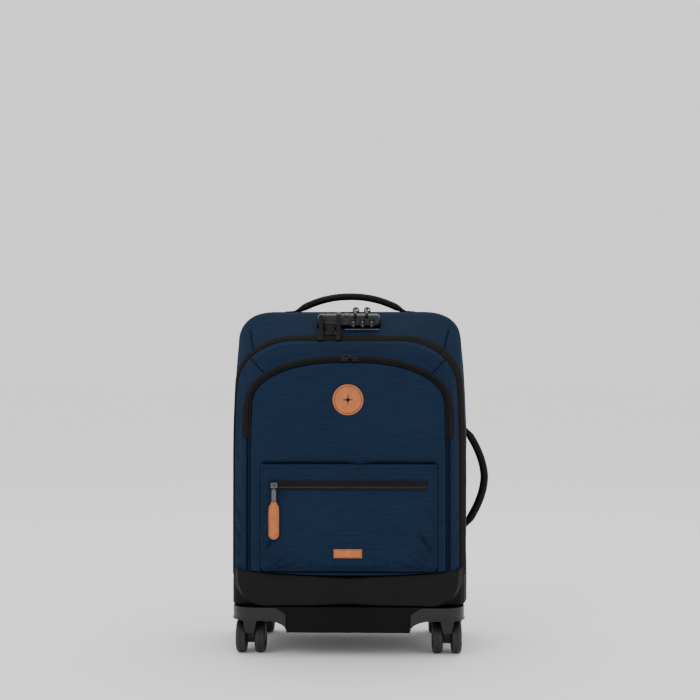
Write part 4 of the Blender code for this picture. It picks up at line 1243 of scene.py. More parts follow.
class SUITCASE_OT_patch_pocket(PieceOperator, bpy.types.Operator):
    """Sews the loose patch pocket with its straight zip let in"""

    bl_idname = "suitcase.patch_pocket"
    bl_label = "Patch pocket"

    def execute(self, context):
        bm = self.cloth()
        puff(bm, self.hold, 4.0, 5.0, slack=0.035)
        # The cloth stays behind the hanging leather tab, wherever the slider stands.
        soft_limit, most = -126.2, 1.4
        for vert in bm.verts:
            y = (vert.co.y - CASE.y) / MM
            if y < soft_limit:
                vert.co.y = CASE.y + (soft_limit - most * (1.0 - math.exp((y - soft_limit) / most))) * MM
        pocket = add_piece("pocket_cloth", bm, "lid", "navy", ["patch_pocket"])
        welts = [flat_sweep(round_section(0.9, steps=8), self.level(118.0, -122.9, z)) for z in (265.4, 250.6)]
        add_piece("pocket_zip_welts", join(welts), "lid", "navy")
        upper, lower = (self.level(116.5, -123.7, z) for z in (264.8, 251.2))
        zip_strip("pocket_zip", upper, lower, "lid", ["patch_zip"])
        coil = self.level(116.0, -123.6, 255.3)
        ticks = stud_row(coil, at(0, 400, POCKET_ZIP_Z), sizes().tooth_pitch, (1.3, 3.0, 0.6), 0.0)
        add_piece("pocket_zip_coil", ticks, "lid", "coil")
        seam = [at(x + 1.1, -120.7, z) for x, z in box_outline(128.7, 132.6, 287.5, (7.0, 3.0), straight=(52, 30))]
        add_piece("pocket_stitches", stitch_row(seam, at(0, 400, 215), 0.2, 0.4), "lid", "navy_thread")
        self.edges()
        return {"FINISHED"}

    def level(self, half, y, z):
        """A level path across the pocket."""
        return [at(x, y, z) for x in spread(-half, half, 60)]

    def cloth(self):
        """The pocket's face as a level grid with rounded corners, finer along its edges."""
        (left, right), (low, high) = POCKET_X, POCKET_Z
        near = [0.0, 0.8, 1.8, 3.0, 4.4, 6.0]
        across = [left + n for n in near] + spread(left + 8.0, right - 8.0, 110) + [right - n for n in near[::-1]]
        up = [low + n for n in near] + spread(low + 8.0, high - 8.0, 66) + [high - n for n in near[::-1]]
        rows = []
        for z in up:
            row = []
            for x in across:
                a, b = round_corner(x, z)
                row.append(at(a, pocket_height(a, b, pocket_gap(a, b)), b))
            rows.append(row)
        bm = lattice(rows, away_from=at(0, 0, 215))
        flat_uv(bm, (0, 2))
        return bm

    def hold(self, p):
        """The pocket is sewn down round its edge, along its zip and under the name tag."""
        gap = pocket_gap(p.x, p.z)
        edge = 1.0 - smooth_share(gap, 1.5, 9.0)
        zipped = (1.0 - smooth_share(abs(p.z - POCKET_ZIP_Z), 8.0, 16.0)) * smooth_share(122.0 - abs(p.x), -4.0, 2.0)
        tag = (1.0 - smooth_share(abs(p.z - TAG_Z), 7.0, 18.0)) * (1.0 - smooth_share(abs(p.x), 21.0, 36.0))
        return max(edge, zipped, tag)

    def edges(self):
        """The turned top edge, which sags a little off the middle, and the seam round the sides and foot."""
        top = [at(x, -118.4, 291.4 - 2.2 * math.exp(-(((x - 17.0) / 13.0) ** 2))) for x in spread(-126.5, 130.0, 90)]
        # The top fold's dark colour is painted shade under the turned edge.
        add_piece("pocket_top_fold", flat_sweep(round_section(1.7, 1.0, steps=12), top, (0, 0, 1)), "lid", "seam")
        foot = [(-131.2, z) for z in spread(290.0, 137.0, 30)]
        foot += [(-123.5 + 7.7 * math.sin(a), 137.0 - 7.7 * math.cos(a) - 0.3) for a in degrees(-90, 90, 6)[1:]]
        foot += [(x, 129.0) for x in spread(-122.0, 122.0, 60)]
        foot += [(-x, z) for x, z in foot[30:36][::-1]] + [(131.2, z) for z in spread(137.0, 290.0, 30)]
        foot = [(x + 2.2 * smooth_share(x, 90.0, 120.0), z) for x, z in foot]
        path = [at(x, -115.9, z) for x, z in foot]
        # The foot's thicker dark cord is painted shadow under the pocket; the side cords are plain navy.
        for name, part, radius, look in (
            ("pocket_seam_left", path[:33], 0.5, "navy"), ("pocket_seam_foot", path[32:-32], 1.3, "seam"),
            ("pocket_seam_right", path[-33:], 0.5, "navy"),
        ):  # fmt: skip
            add_piece(name, flat_sweep(round_section(radius, steps=8), part), "lid", look)


# ---------------------------------------------------------------- guard and badges
def guard_top(x):
    """Height of the guard's top edge, which rises towards its ends."""
    return 122.8 + 9.5 * (abs(x) / 169.0) ** 2.4


def guard_outline(inset=0.0):
    """The guard in front view: round lower corners and a top edge that rises towards its ends."""
    half, low, radius = 169.0 - inset, 76.6 + inset, 42.0 - inset
    shoulder = guard_top(half) - inset

    def corner(x, start):
        return [(x + radius * math.cos(a), low + radius + radius * math.sin(a)) for a in degrees(start, 90, 12)]

    return [
        *corner(half - radius, -90),
        *((half, z) for z in spread(low + radius, shoulder, 6)[1:]),
        *((x, guard_top(x) - inset) for x in spread(half, -half, 60)[1:]),
        *((-half, z) for z in spread(shoulder, low + radius, 6)[1:-1]),
        *corner(-half + radius, 180),
        *((x, low) for x in spread(-half + radius, half - radius, 50)[1:-1]),
    ]


class SUITCASE_OT_guard(PieceOperator, bpy.types.Operator):
    """Sews the coated guard across the foot of the lid and its corded piping"""

    bl_idname = "suitcase.guard"
    bl_label = "Bottom guard"

    def execute(self, context):
        levels = [1.0, 0.998, 0.994, 0.988, 0.98, 0.97, 0.955, 0.935, 0.91] + spread(0.88, 0.0, 16)

        def height(x, z, gap):
            wave = 0.9 + 0.5 * crumple(Vector((x, 0, z)), 45.0, 5.0)
            return -96.0 - smooth_share(gap, -3.0, 6.0) * 13.4 - smooth_share(gap, 3.0, 18.0) * wave

        bm = pillow(guard_outline(), (0, 100), levels, height)
        guard = add_piece("guard_cloth", bm, "lid", "coated", ["bottom_guard"])
        centre = at(0, -90, 100)
        depths = ((-86.5, 0.4), (-90.0, 0.0), (-93.0, 0.0), (-96.2, 0.2))
        rows = [row_at(guard_outline(inset), y) for y, inset in depths]
        band = lattice([[*row, row[0]] for row in rows], closed=True, away_from=centre)
        add_piece("guard_side", band, "lid", "coated")
        levels = [1.0, 0.99, 0.97, 0.9, 0.7, 0.4, 0.0]
        outline = box_outline(174.0, 75.9, 134.0, (5.0, 2.0))
        skirt = pillow(outline, (0, 104), levels, lambda x, z, gap: -85.0 - 8.6 * smooth_share(gap, -2.0, 7.0))
        add_piece("skirt_front", skirt, "lid", "coated")
        cord = closed_sweep(round_section(1.2, steps=10), row_at(guard_outline(-0.2), -97.4), centre)
        add_piece("guard_piping", cord, "lid", "thread")
        return {"FINISHED"}


class SUITCASE_OT_badges(PieceOperator, bpy.types.Operator):
    """Sews on the round leather badge, with a plain star-like mark, and the blank name tag"""

    bl_idname = "suitcase.badges"
    bl_label = "Leather badge and tag"

    def execute(self, context):
        face, z = -115.3, BADGE_Z
        badge = rod(23.0, (0, face + 0.6, z), (0, face - 1.9, z), 96, bevel=0.7)
        flat_uv(badge, (0, 2))
        add_piece("badge_disc", badge, "lid", "leather", ["round_badge"])
        ring = [at(20.4 * math.cos(a), face - 1.95, z + 20.4 * math.sin(a)) for a in circle(96)]
        marks = [flat_sweep(round_section(0.42, 0.2, steps=6), ring, ring=True)]
        for turn in (0.0, math.pi / 2):
            c, s = math.cos(turn), math.sin(turn)
            diamond = [(a * c - b * s, z + a * s + b * c) for a, b in ((8.5, 0), (0, 1.9), (-8.5, 0), (0, -1.9))]
            marks.append(prism(diamond, "Y", face - 1.7, face - 2.1))
        add_piece("badge_mark", join(marks), "lid", "mark")
        tag = block((-21.0, -126.2, 151.3), (21.0, -123.6, 164.3), 0.5)
        add_piece("name_tag_leather", tag, "lid", "leather", ["name_tag"])
        border = [at(x, -126.25, z) for x, z in box_outline(19.6, 152.7, 162.9, (0.6, 0.6), steps=3, straight=(10, 6))]
        stitches = stud_row(border + border[:1], at(0, 400, TAG_Z), 1.9 * MM, (1.2, 0.4, 0.35), 0.0)
        add_piece("name_tag_stitches", stitches, "lid", "mark")
        return {"FINISHED"}


# ---------------------------------------------------------------- handles
def handle_path(half_length, rise, foot, power, sunk=-2.8, steps=72):
    """Pairs (along, out) of a carry handle and its two sewn feet."""
    pairs = [(-half_length - foot + foot * i / 6, sunk) for i in range(6)]
    for step in range(steps + 1):
        along = half_length * (2 * step / steps - 1)
        lift = (rise - sunk) * (1 - abs(along / half_length) ** power) + sunk
        pairs.append((along, lift))
    pairs += [(half_length + foot * (i + 1) / 6, sunk) for i in range(6)]
    for _ in range(3):
        middle = zip(pairs, pairs[1:], pairs[2:])
        eased = [((a[0] + 2 * b[0] + c[0]) / 4, (a[1] + 2 * b[1] + c[1]) / 4) for a, b, c in middle]
        pairs = [pairs[0], *eased, pairs[-1]]
    return pairs


HANDLE_FOOT = 1.9


def handle_frames(points, normals):
    """(point, outwards, sideways, share of the way, how full from 0 to 1) along a handle, flat where it is sewn."""
    count = len(points) - 1
    for index, (point, normal) in enumerate(zip(points, normals)):
        before, after = points[max(index - 1, 0)], points[min(index + 1, count)]
        side = (after - before).normalized().cross(normal).normalized()
        share = index / count
        yield point, normal, side, share, smooth_share(min(share, 1 - share), 0.07, 0.16)


def handle_bar(points, normals, half_width, half_thickness):
    """A padded handle: full in the middle, flat where it is sewn down."""
    rows = []
    for index, (point, normal, side, share, full) in enumerate(handle_frames(points, normals)):
        thick = HANDLE_FOOT + (half_thickness - HANDLE_FOOT) * full
        wide = half_width * (0.97 + 0.03 * full)
        end = smooth_share(min(share, 1 - share), -0.004, 0.012)
        row = []
        for a, b in round_section(wide * end + 0.5, thick * (0.3 + 0.7 * end), steps=28, power=2.9 + 1.6 * (1 - full)):
            wave = 0.22 * full * crumple(Vector((index * 3.0, a, b)), 9.0, 3.0)
            row.append(point + side * (a * MM) + normal * ((b + (wave if b > 0 else 0.0)) * MM))
        rows.append([*row, row[0]])
    bm = lattice(rows, closed=True)
    bmesh.ops.holes_fill(bm, edges=bm.edges, sides=0)
    bmesh.ops.recalc_face_normals(bm, faces=bm.faces)
    return bm


class SUITCASE_OT_handles(PieceOperator, bpy.types.Operator):
    """Sews the padded top and side carry handles, with their edge stitching and sewn feet"""

    bl_idname = "suitcase.handles"
    bl_label = "Carry handles"

    def execute(self, context):
        top = [at(a, 24.0, 522.9 + b) for a, b in handle_path(88.0, 22.3, 16.0, 2.15)]
        side = [at(184.5 + b, 32.0, SIDE_HANDLE_Z - a) for a, b in handle_path(79.0, 28.8, 14.0, 1.8)]
        for name, path, width, thick, node, centre in (
            ("top_handle_padded", top, 14.0, 5.3, "top_handle", at(0, 24, 380)),
            ("side_handle_padded", side, 12.0, 5.9, "side_handle", at(40, 32, 256)),
        ):
            normals = path_normals(path, centre)
            piece = add_piece(name, handle_bar(path, normals, width, thick), "case", "webbing", [node])
            rows = []
            for edge in (-1, 1):
                line = []
                for point, normal, side, _, full in handle_frames(path, normals):
                    lift = (HANDLE_FOOT + (thick - HANDLE_FOOT) * full) * 0.88
                    line.append(point + side * (edge * (width - 3.2) * MM) + normal * (lift * MM))
                rows.append(stud_row(line[3:-3], centre, sizes().stitch_pitch, (2.8, 0.6, 0.7), 0.2))
            add_piece(name.replace("padded", "stitches"), join(rows), "case", "thread")
        self.feet()
        return {"FINISHED"}

    def feet(self):
        """The square patches that hold each handle's ends to the case."""
        parts = []
        for end in (-1, 1):
            x, z = end * 98.0, SIDE_HANDLE_Z + end * 87.0
            parts.append(block((x - 11.0, 8.0, 517.2), (x + 11.0, 40.0, 519.6), 0.8))
            parts.append(block((178.0, 18.0, z - 11.0), (180.9, 46.0, z + 11.0), 0.8))
        add_piece("handle_feet", join(parts), "case", "coated")


# ---------------------------------------------------------------- hardware kept or refined
def refined(name, node, body, look, bevel=0.4, sharp=35.0):
    """A copy of a CAD node's mesh, merged and softened along its edges, that stands for the node."""
    bm = bmesh.new()
    bm.from_mesh(frame["nodes"][node].data)
    bmesh.ops.remove_doubles(bm, verts=bm.verts, dist=0.003 * MM)
    bmesh.ops.dissolve_limit(bm, angle_limit=math.radians(2.0), verts=bm.verts, edges=bm.edges)
    flat_uv(bm)
    return add_piece(name, bm, body, look, [node], bevel=bevel * MM, sharp_deg=sharp)


class SUITCASE_OT_base(PieceOperator, bpy.types.Operator):
    """Fits the bottom tray and the four moulded wheel housings"""

    bl_idname = "suitcase.base"
    bl_label = "Bottom tray and wheel housings"

    def execute(self, context):
        # The tray and its aprons take the shaded look, whose darker colour is painted shade under the case.
        refined("tray_shell", "bottom_panel", "case", "shaded", 1.6)
        for word in CORNERS:
            refined(f"housing_{word}", f"wheel_housing_{word}", "case", "plastic", 0.7)
            self.lip(word, -1 if "left" in word else 1, -1 if "front" in word else 1)
        for name, y0, y1 in (("tray_apron_front", -112.0, -110.4), ("tray_apron_back", 106.9, 105.3)):
            add_piece(name, prism(self.apron(), "Y", y0, y1, 0.5), "case", "shaded")
        screws = [rod(3.6, (x, y, 38.6), (x, y, 37.3), 24, 0.5) for x in (-78.0, 78.0) for y in (-96.0, 90.0)]
        add_piece("tray_screws", join(screws), "case", "steel")
        return {"FINISHED"}

    def apron(self):
        """The coated apron between two housings: round lower corners and flared upper ends."""
        right = [(84.0 + 6.0 * math.sin(a), 44.4 - 6.0 * math.cos(a)) for a in degrees(0, 90, 6)]
        right += [(90.0 + 20.0 * max(0.0, (z - 53.0) / 22.0) ** 2.6, z) for z in spread(46.0, 76.2, 20)]
        return right + [(-x, z) for x, z in right[::-1]]

    def lip(self, word, side, end):
        """The rounded lip along a housing's lower edge."""
        tip, far, radius = (111.0 if end < 0 else 106.0), 174.0, 30.0
        plan = [(x, tip) for x in spread(119.0, far - radius, 10)]
        turn = degrees(0, 90, 16)[1:]
        plan += [(far - radius * (1 - math.sin(a)), tip - radius * (1 - math.cos(a))) for a in turn]
        plan += [(far, y) for y in spread(tip - radius, 28.0, 12)[1:]]
        path = [at(side * x, end * y, 56.6 - 1.6 * (1 - smooth_share(x, 119.0, 130.0))) for x, y in plan]
        cord = sweep(round_section(1.3, 1.1, steps=10), path, path_normals(path, at(side * 120.0, end * 50.0, 56.6)))
        add_piece(f"housing_lip_{word}", cord, "case", "plastic")


def wheel_block(centre, angle, x, radius, size):
    """A block at a place on a wheel that turns on X: x along the axle, radius out from it, all in mm."""
    bm = bmesh.new()
    turn = Matrix.Translation(at(*centre)) @ Matrix.Rotation(angle, 4, "X")
    place = turn @ Matrix.Translation((x * MM, 0, radius * MM)) @ Matrix.Diagonal((*(s * MM for s in size), 1))
    bmesh.ops.create_cube(bm, size=1.0, matrix=place)
    return bm


class SUITCASE_OT_casters(PieceOperator, bpy.types.Operator):
    """Fits the four swivelling casters, their twin wheels with dished hubs, and the axle caps"""

    bl_idname = "suitcase.casters"
    bl_label = "Casters"

    def execute(self, context):
        segments = sizes().wheel_facets
        for word in CORNERS:
            refined(f"fork_{word}", f"caster_fork_{word}", f"caster_{word}", "plastic", 0.5)
            for letter, side in (("a", -1), ("b", 1)):
                low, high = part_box(f"wheel_{word}_{letter}")
                self.wheel(f"{word}_{letter}", ((low + high) / 2 - CASE) / MM, side, segments)
        return {"FINISHED"}

    def wheel(self, word, middle, side, segments):
        """A tread with grooves, a dished hub disc with ribs and a domed cap."""
        body = f"wheel_{word}"
        half = 7.8
        tread = [
            (-half, 0.0), (-half, 9.0), (-half, 20.6), (-half + 0.5, 22.4), (-half + 1.8, 24.2), (-half + 3.4, 24.8),
            (-2.2, 25.0), (-1.9, 24.4), (-1.1, 24.4), (-0.8, 25.0), (0.8, 25.0), (1.1, 24.4), (1.9, 24.4), (2.2, 25.0),
            (half - 3.4, 24.8), (half - 1.8, 24.2), (half - 0.4, 22.4), (half, 20.8), (half - 0.6, 20.3),
            (half - 1.6, 19.8), (half - 1.8, 19.2), (half - 1.8, 0.0),
        ]  # fmt: skip
        bm = lathe_x([(side * x, r) for x, r in tread], middle, segments)
        add_piece(f"tread_{word}", bm, body, "tread", [body], sharp_deg=32)
        disc = [
            (half - 1.9, 0.0), (half - 1.9, 19.0), (half - 1.4, 19.0), (half - 1.1, 18.4), (half - 1.1, 16.8),
            (half - 1.7, 16.2), (half - 1.7, 9.2), (half - 0.9, 8.4), (half - 0.5, 7.8), (half - 0.5, 5.6),
            (half - 0.9, 5.2), (half - 0.2, 4.6), (half + 0.3, 3.2), (half + 0.5, 0.0),
        ]  # fmt: skip
        bm = lathe_x([(side * x, r) for x, r in disc], middle, segments)
        add_piece(f"hub_{word}", bm, body, "plastic", sharp_deg=30)
        ribs = [wheel_block(middle, angle, side * (half - 1.4), 12.6, (1.1, 1.5, 8.0)) for angle in circle(8)]
        add_piece(f"ribs_{word}", join(ribs), body, "plastic", bevel=0.25 * MM)


class SUITCASE_OT_trolley(PieceOperator, bpy.types.Operator):
    """Fits the telescopic pull handle: the well's bezel, the grip and its push button"""

    bl_idname = "suitcase.trolley"
    bl_label = "Pull handle"

    def execute(self, context):
        refined("well_bezel", "trolley_bezel", "case", "plastic", 0.6)
        refined("grip_bar", "grip", "trolley_grip", "plastic", 1.0)
        refined("push_button", "grip_button", "grip_button", "plastic", 0.5)
        return {"FINISHED"}


def wire_ring(centre, radii, wire, steps, section_steps=8):
    """A ring of round wire; radii are how far it reaches along X, and at its top along Y and Z, in mm."""
    x, y, z = centre
    a, b, c = radii
    ring = [at(x + a * math.cos(t), y + b * math.sin(t), z + c * math.sin(t)) for t in circle(steps)]
    return closed_sweep(round_section(wire, steps=section_steps), ring, at(x, y, z))


class SUITCASE_OT_lock(PieceOperator, bpy.types.Operator):
    """Fits the combination lock: its plated bar, three numbered dials, key plug and release button"""

    bl_idname = "suitcase.lock"
    bl_label = "Combination lock"

    def execute(self, context):
        y, z = LOCK_Y, LOCK_Z
        profile = [
            (-47.5, 0.0), (-47.5, 6.5), (-47.1, 8.6), (-46.0, 10.4), (-44.2, 11.6), (-42.0, 12.0), (-36.0, 12.0),
            (-35.6, 11.5), (-34.8, 11.5), (-34.4, 12.0), (-4.0, 12.0), (42.0, 12.0), (44.2, 11.6), (46.0, 10.4),
            (47.1, 8.6), (47.5, 6.5), (47.5, 0.0),
        ]  # fmt: skip
        bar = lathe_x(profile, (0.0, y, z), 72)
        for x in DIAL_PLACES:
            bar = combine(bar, rod(9.0, (x - 3.9, DIAL_Y, DIAL_Z), (x + 3.9, DIAL_Y, DIAL_Z), 48), "DIFFERENCE")
        collars = []
        # The bores of the key plug and the release button: place, radius, collar's radius and tilt.
        for x, radius, rim, tilt in ((-3.0, 3.8, 4.6, 62.0), (-15.0, 3.9, 4.8, 75.0)):
            out = (-math.cos(math.radians(tilt)), math.sin(math.radians(tilt)))
            bore = rod(radius, (x, y + out[0] * 4, z + out[1] * 4), (x, y + out[0] * 14, z + out[1] * 14), 32)
            bar = combine(bar, bore, "DIFFERENCE")
            collars.append(self.collar(x, rim, Vector((0.0, *out))))
        flat_uv(bar)
        add_piece("lock_bar", bar, "lid", "gunmetal", ["lock_housing"], bevel=0.3 * MM, sharp_deg=30)
        for number, place in enumerate(DIAL_PLACES, 1):
            self.dial(number, place)
        add_piece("lock_collars", join(collars), "lid", "nickel")
        # A lip frames the window that the three dials look out of.
        window = [(-0.5 + 43.0 * i / 20, -14.0) for i in range(21)] + [(42.5 - 43.0 * i / 20, -66.0) for i in range(21)]
        window = [(x, math.radians(turn)) for x, turn in window]
        path = [at(x, y - 12.0 * math.cos(a), z + 12.0 * math.sin(a)) for x, a in window]
        lip = closed_sweep(round_section(0.6, steps=8), path, at(21, y, z))
        add_piece("lock_window_lip", lip, "lid", "gunmetal")
        line = [at(x, -80.4, 490.2) for x in spread(-6.0, 46.0, 40)]
        lip = flat_sweep(round_section(1.1, 0.6, steps=12), line, (0, -0.5, 0.87))
        add_piece("lock_base_lip", lip, "lid", "nickel")
        slope = [(-87.0, 481.5), (-78.2, 497.5), (-75.6, 496.0), (-84.4, 480.0)]
        add_piece("lock_pull_plate", prism(slope, "X", -37.5, -19.0, 0.6), "lid", "black_cast")
        # Small rings close the ends of the two outer pulls.
        for word, x in (("left", -41.0), ("right", -16.5)):
            loop = wire_ring((x, -88.6, 484.5), (2.6, 1.2, 2.8), 0.6, 32)
            add_piece(f"outer_pull_ring_{word}", loop, f"outer_slider_{word}", "nickel")
        return {"FINISHED"}

    def collar(self, x, radius, out):
        """The plated rim round a bore that looks out of the bar."""
        across = Vector((1, 0, 0))
        centre, side = Vector((x, LOCK_Y, LOCK_Z)) + out * 12.0, across.cross(out)
        ring = [at(*(centre + across * (radius * math.cos(t)) + side * (radius * math.sin(t)))) for t in circle(32)]
        return flat_sweep(round_section(0.55, 0.5, steps=8), ring, out, ring=True)

    def dial(self, number, place):
        """A number wheel with a knurled rim and ten painted figures."""
        centre = (place, DIAL_Y, DIAL_Z)
        profile = [
            (-3.5, 2.3), (-3.5, 7.4), (-3.1, 7.9), (-2.4, 8.1), (2.4, 8.1), (3.1, 7.9), (3.5, 7.4), (3.5, 2.3),
            (-3.5, 2.3),
        ]  # fmt: skip
        wheel = lathe_x(profile, centre, 40)
        node = f"lock_dial_{number}"
        add_piece(f"{node}_wheel", wheel, node, "plastic", [node], sharp_deg=30)
        size = (0.9, 0.55, 0.55)
        teeth = [wheel_block(centre, angle, x, 8.05, size) for angle in circle(40) for x in (-2.9, 2.9)]
        add_piece(f"{node}_knurl", join(teeth), node, "gunmetal")
        figures = []
        for figure in range(10):
            text = bpy.data.curves.new("figure", "FONT")
            text.body, text.size, text.extrude = str(figure), 3.0 * MM, 0.12 * MM
            text.align_x, text.align_y, text.resolution_u = "CENTER", "CENTER", 2
            obj = new_object("figure", text)
            bpy.context.view_layer.update()
            mesh = bpy.data.meshes.new_from_object(obj.evaluated_get(bpy.context.evaluated_depsgraph_get()))
            bpy.data.objects.remove(obj)
            bpy.data.curves.remove(text)
            # The figure's own top points along the wheel's turn, and its face points outwards.
            spin = Matrix.Rotation(math.tau * figure / 10 + math.radians(20), 4, "X")
            stand = Matrix.Rotation(math.radians(90), 4, "X")
            mesh.transform(Matrix.Translation(at(*centre)) @ spin @ Matrix.Translation((0, -8.12 * MM, 0)) @ stand)
            part = bmesh.new()
            part.from_mesh(mesh)
            bpy.data.meshes.remove(mesh)
            figures.append(part)
        add_piece(f"{node}_figures", join(figures), node, "white_print")


class SUITCASE_OT_sliders(PieceOperator, bpy.types.Operator):
    """Fits the zip sliders and their pulls"""

    bl_idname = "suitcase.sliders"
    bl_label = "Zip sliders"

    def execute(self, context):
        for node in ("main_slider_left", "main_slider_right", "outer_slider_left", "outer_slider_right",
                     "patch_slider", "patch_pull"):  # fmt: skip
            refined(f"{node}_cast", node, node, "nickel" if node.startswith("patch") else "black_cast", 0.3)
        self.lying_slider("inner_slider_left", 1)
        self.lying_slider("inner_slider_right", -1)
        for word, x in (("left", 10.0), ("right", 27.5)):
            loop = wire_ring((x, ZIP_MIDDLE, 521.6), (4.4, 0.0, 4.0), 1.1, 40, 10)
            add_piece(f"main_slider_{word}_loop", loop, f"main_slider_{word}", "gunmetal")
        self.tab()
        return {"FINISHED"}

    def lying_slider(self, node, turn):
        """A slider that runs along the arched zip, its pull laid over towards the other one."""
        low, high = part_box(node)
        low, high = (low - CASE) / MM, (high - CASE) / MM
        x, y = (low.x + high.x) / 2, low.y
        z = low.z + 4.6
        body = block((x - 6.0, y + 1.6, z - 4.2), (x + 6.0, y + 4.0, z + 4.2), 1.0)
        bridge = block((x - 4.0, y + 0.5, z - 1.4), (x + 4.0, y + 2.0, z + 1.4), 0.5)
        add_piece(f"{node}_cast", join([body, bridge]), node, "black_cast", [node])
        loop = wire_ring((x + turn * 3.4, y + 0.3, z + 3.2), (4.6, 0.0, 2.4), 0.65, 40)
        add_piece(f"{node}_ring", loop, node, "gunmetal")

    def tab(self):
        """The leather tab: two layers, painted edges and a row of stitches round it."""
        low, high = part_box("leather_tab")
        low, high = (low - CASE) / MM, (high - CASE) / MM
        x, y, top, foot = (low.x + high.x) / 2, (low.y + high.y) / 2, high.z, low.z
        middle, wide = (top + foot) / 2, 7.7
        right = [(4.9, top - 4.0), (3.9, top - 0.6), (3.0, top)]
        levels = spread(foot + wide, top - 4.0, 14)[:-1]
        sides = [(wide * (1 - 0.4 * max(0.0, (z - top + 15.0) / 15.0) ** 2), z) for z in levels]
        base = [(wide * math.cos(a), foot + wide + wide * math.sin(a)) for a in degrees(-90, 90, 6)[:-1]]
        half = base + sides + right
        outline = [(x + a, z) for a, z in half] + [(x - a, z) for a, z in half[::-1]]
        tab = prism(outline, "Y", y - 1.25, y + 1.25, 0.45)
        flat_uv(tab)
        add_piece("pull_leather", tab, "patch_pull", "leather", ["leather_tab"])
        edge = closed_sweep(round_section(1.25, 1.2, steps=8), row_at(outline, y), at(x, y, middle))
        add_piece("pull_leather_edge", edge, "patch_pull", "thread")
        line = [at(x + (a - x) * 0.76, y - 1.3, middle + (z - middle) * 0.93) for a, z in outline]
        stitches = stud_row(line + line[:1], at(x, y + 300, middle), 2.6 * MM, (1.7, 0.4, 0.35), 0.0)
        add_piece("pull_leather_stitches", stitches, "patch_pull", "mark")


class SUITCASE_OT_finishes(PieceOperator, bpy.types.Operator):
    """Gives the CAD nodes that still show their real finishes"""

    bl_idname = "suitcase.finishes"
    bl_label = "Finishes of the plain parts"

    def execute(self, context):
        looks = {"steel": "steel", "anodised_tube": "tube", "gunmetal": "gunmetal", "charcoal_plastic": "plastic",
                 "wheel_rubber": "tread", "tan_leather": "leather", "navy_polyester": "navy", "black_fabric": "coated",
                 "zip_tape": "tape", "webbing": "webbing", "axle_steel": "steel"}  # fmt: skip
        slots = {part["node"]: part["material_slot"] for part in frame["record"]["subparts"]}
        for name, obj in frame["nodes"].items():
            if obj.hide_render:
                continue
            look = looks[slots[name]]
            if name.startswith("lock_dial"):
                look = "gunmetal"
            obj.data.materials.clear()
            obj.data.materials.append(finish(look))
            for polygon in obj.data.polygons:
                polygon.material_index = 0
        return {"FINISHED"}


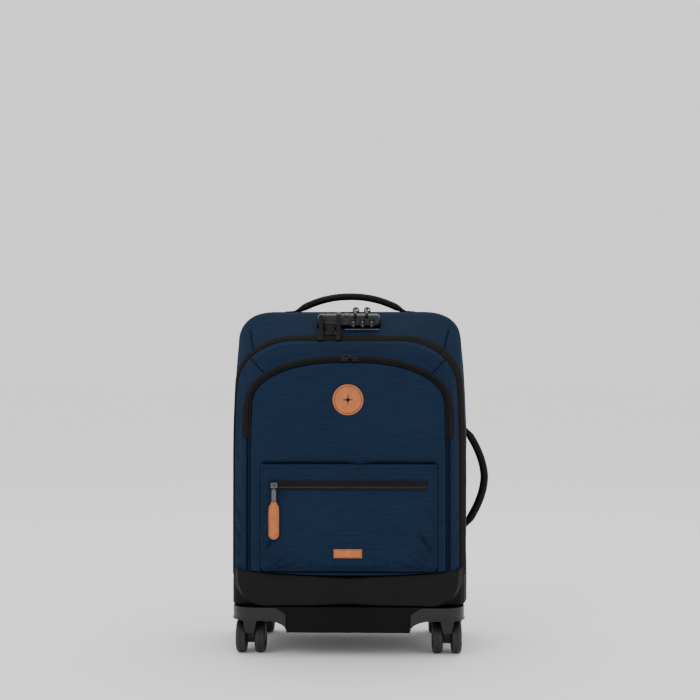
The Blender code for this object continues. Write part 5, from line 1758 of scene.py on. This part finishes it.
# ---------------------------------------------------------------- stage
class SUITCASE_OT_stage(PieceOperator, bpy.types.Operator):
    """Sets the pale floor, the soft lights and the camera"""

    bl_idname = "suitcase.stage"
    bl_label = "Stage, lights and camera"

    def execute(self, context):
        scene = context.scene
        bm = bmesh.new()
        bmesh.ops.create_grid(bm, x_segments=1, y_segments=1, size=30.0)
        floor = new_object("studio_floor", mesh_of("studio_floor", bm))
        material, tree, shader = start_material("matt_white_floor")
        grain = noise_field(tree, add_node(tree, "ShaderNodeTexCoord").outputs["Object"], 3.0, 2.0)
        base = shaded(tree, colour("floor"), remapped(tree, grain, 0.985, 1.0, 0.0, 1.0))
        fill(tree, shader, {"Base Color": base, "Roughness": 1.0, "Specular IOR Level": 0.0})
        floor.data.materials.append(material)
        world = bpy.data.worlds.new("studio")
        world.use_nodes = True
        background = world.node_tree.nodes["Background"]
        background.inputs["Color"].default_value = (1.0, 1.0, 1.0, 1.0)
        background.inputs["Strength"].default_value = 1.2
        scene.world = world
        aim = Vector((0, 0, 0.3))
        for name, place, size, power in (
            ("key", (-1.5, -2.2, 2.2), 1.2, 16.0),
            ("fill", (2.1, -1.7, 1.3), 1.6, 5.0),
            ("top", (0.2, 0.7, 2.5), 1.4, 12.0),
        ):
            light = bpy.data.lights.new(name, "AREA")
            light.energy, light.size = power, size
            obj = new_object(name, light)
            obj.location = place
            obj.rotation_euler = (aim - Vector(place)).to_track_quat("-Z", "Y").to_euler()
        lens = bpy.data.cameras.new("camera")
        lens.lens, lens.sensor_width = 65.5, 36.0
        lens.clip_start, lens.clip_end = 0.1, 50.0
        camera = new_object("camera", lens)
        turn, rise = math.radians(1.5), math.radians(0.77)
        far = sizes().camera_distance
        camera.location = (CASE.x + far * math.sin(turn), CASE.y - far * math.cos(turn), sizes().camera_height)
        aim = Vector((-math.sin(turn) * math.cos(rise), math.cos(turn) * math.cos(rise), math.sin(rise)))
        camera.rotation_euler = aim.to_track_quat("-Z", "Y").to_euler()
        scene.camera = camera
        return {"FINISHED"}


# ---------------------------------------------------------------- add-on
OPERATORS = (
    SUITCASE_OT_rear_shell,
    SUITCASE_OT_lid_shell,
    SUITCASE_OT_zips,
    SUITCASE_OT_compartment,
    SUITCASE_OT_front_panel,
    SUITCASE_OT_patch_pocket,
    SUITCASE_OT_guard,
    SUITCASE_OT_badges,
    SUITCASE_OT_handles,
    SUITCASE_OT_base,
    SUITCASE_OT_casters,
    SUITCASE_OT_trolley,
    SUITCASE_OT_lock,
    SUITCASE_OT_sliders,
    SUITCASE_OT_finishes,
    SUITCASE_OT_stage,
)


class SUITCASE_PT_panel(bpy.types.Panel):
    """Lists the steps that dress the suitcase, with its sizes and colours"""

    bl_label = "Suitcase"
    bl_idname = "SUITCASE_PT_panel"
    bl_space_type = "VIEW_3D"
    bl_region_type = "UI"
    bl_category = "Suitcase"

    def draw(self, context):
        for group in (context.scene.suitcase_sizes, context.scene.suitcase_colours):
            for key in group.__annotations__:
                self.layout.prop(group, key)
        for operator in OPERATORS:
            self.layout.operator(operator.bl_idname)


CLASSES = (SuitcaseColours, SuitcaseSizes, *OPERATORS, SUITCASE_PT_panel)


def register():
    for cls in CLASSES:
        bpy.utils.register_class(cls)
    bpy.types.Scene.suitcase_sizes = PointerProperty(type=SuitcaseSizes)
    bpy.types.Scene.suitcase_colours = PointerProperty(type=SuitcaseColours)


def unregister():
    del bpy.types.Scene.suitcase_colours, bpy.types.Scene.suitcase_sizes
    for cls in reversed(CLASSES):
        bpy.utils.unregister_class(cls)


def main():
    register()
    for operator in OPERATORS:
        group, name = operator.bl_idname.split(".")
        getattr(getattr(bpy.ops, group), name)()
    bpy.context.view_layer.update()


if __name__ == "__main__":
    main()
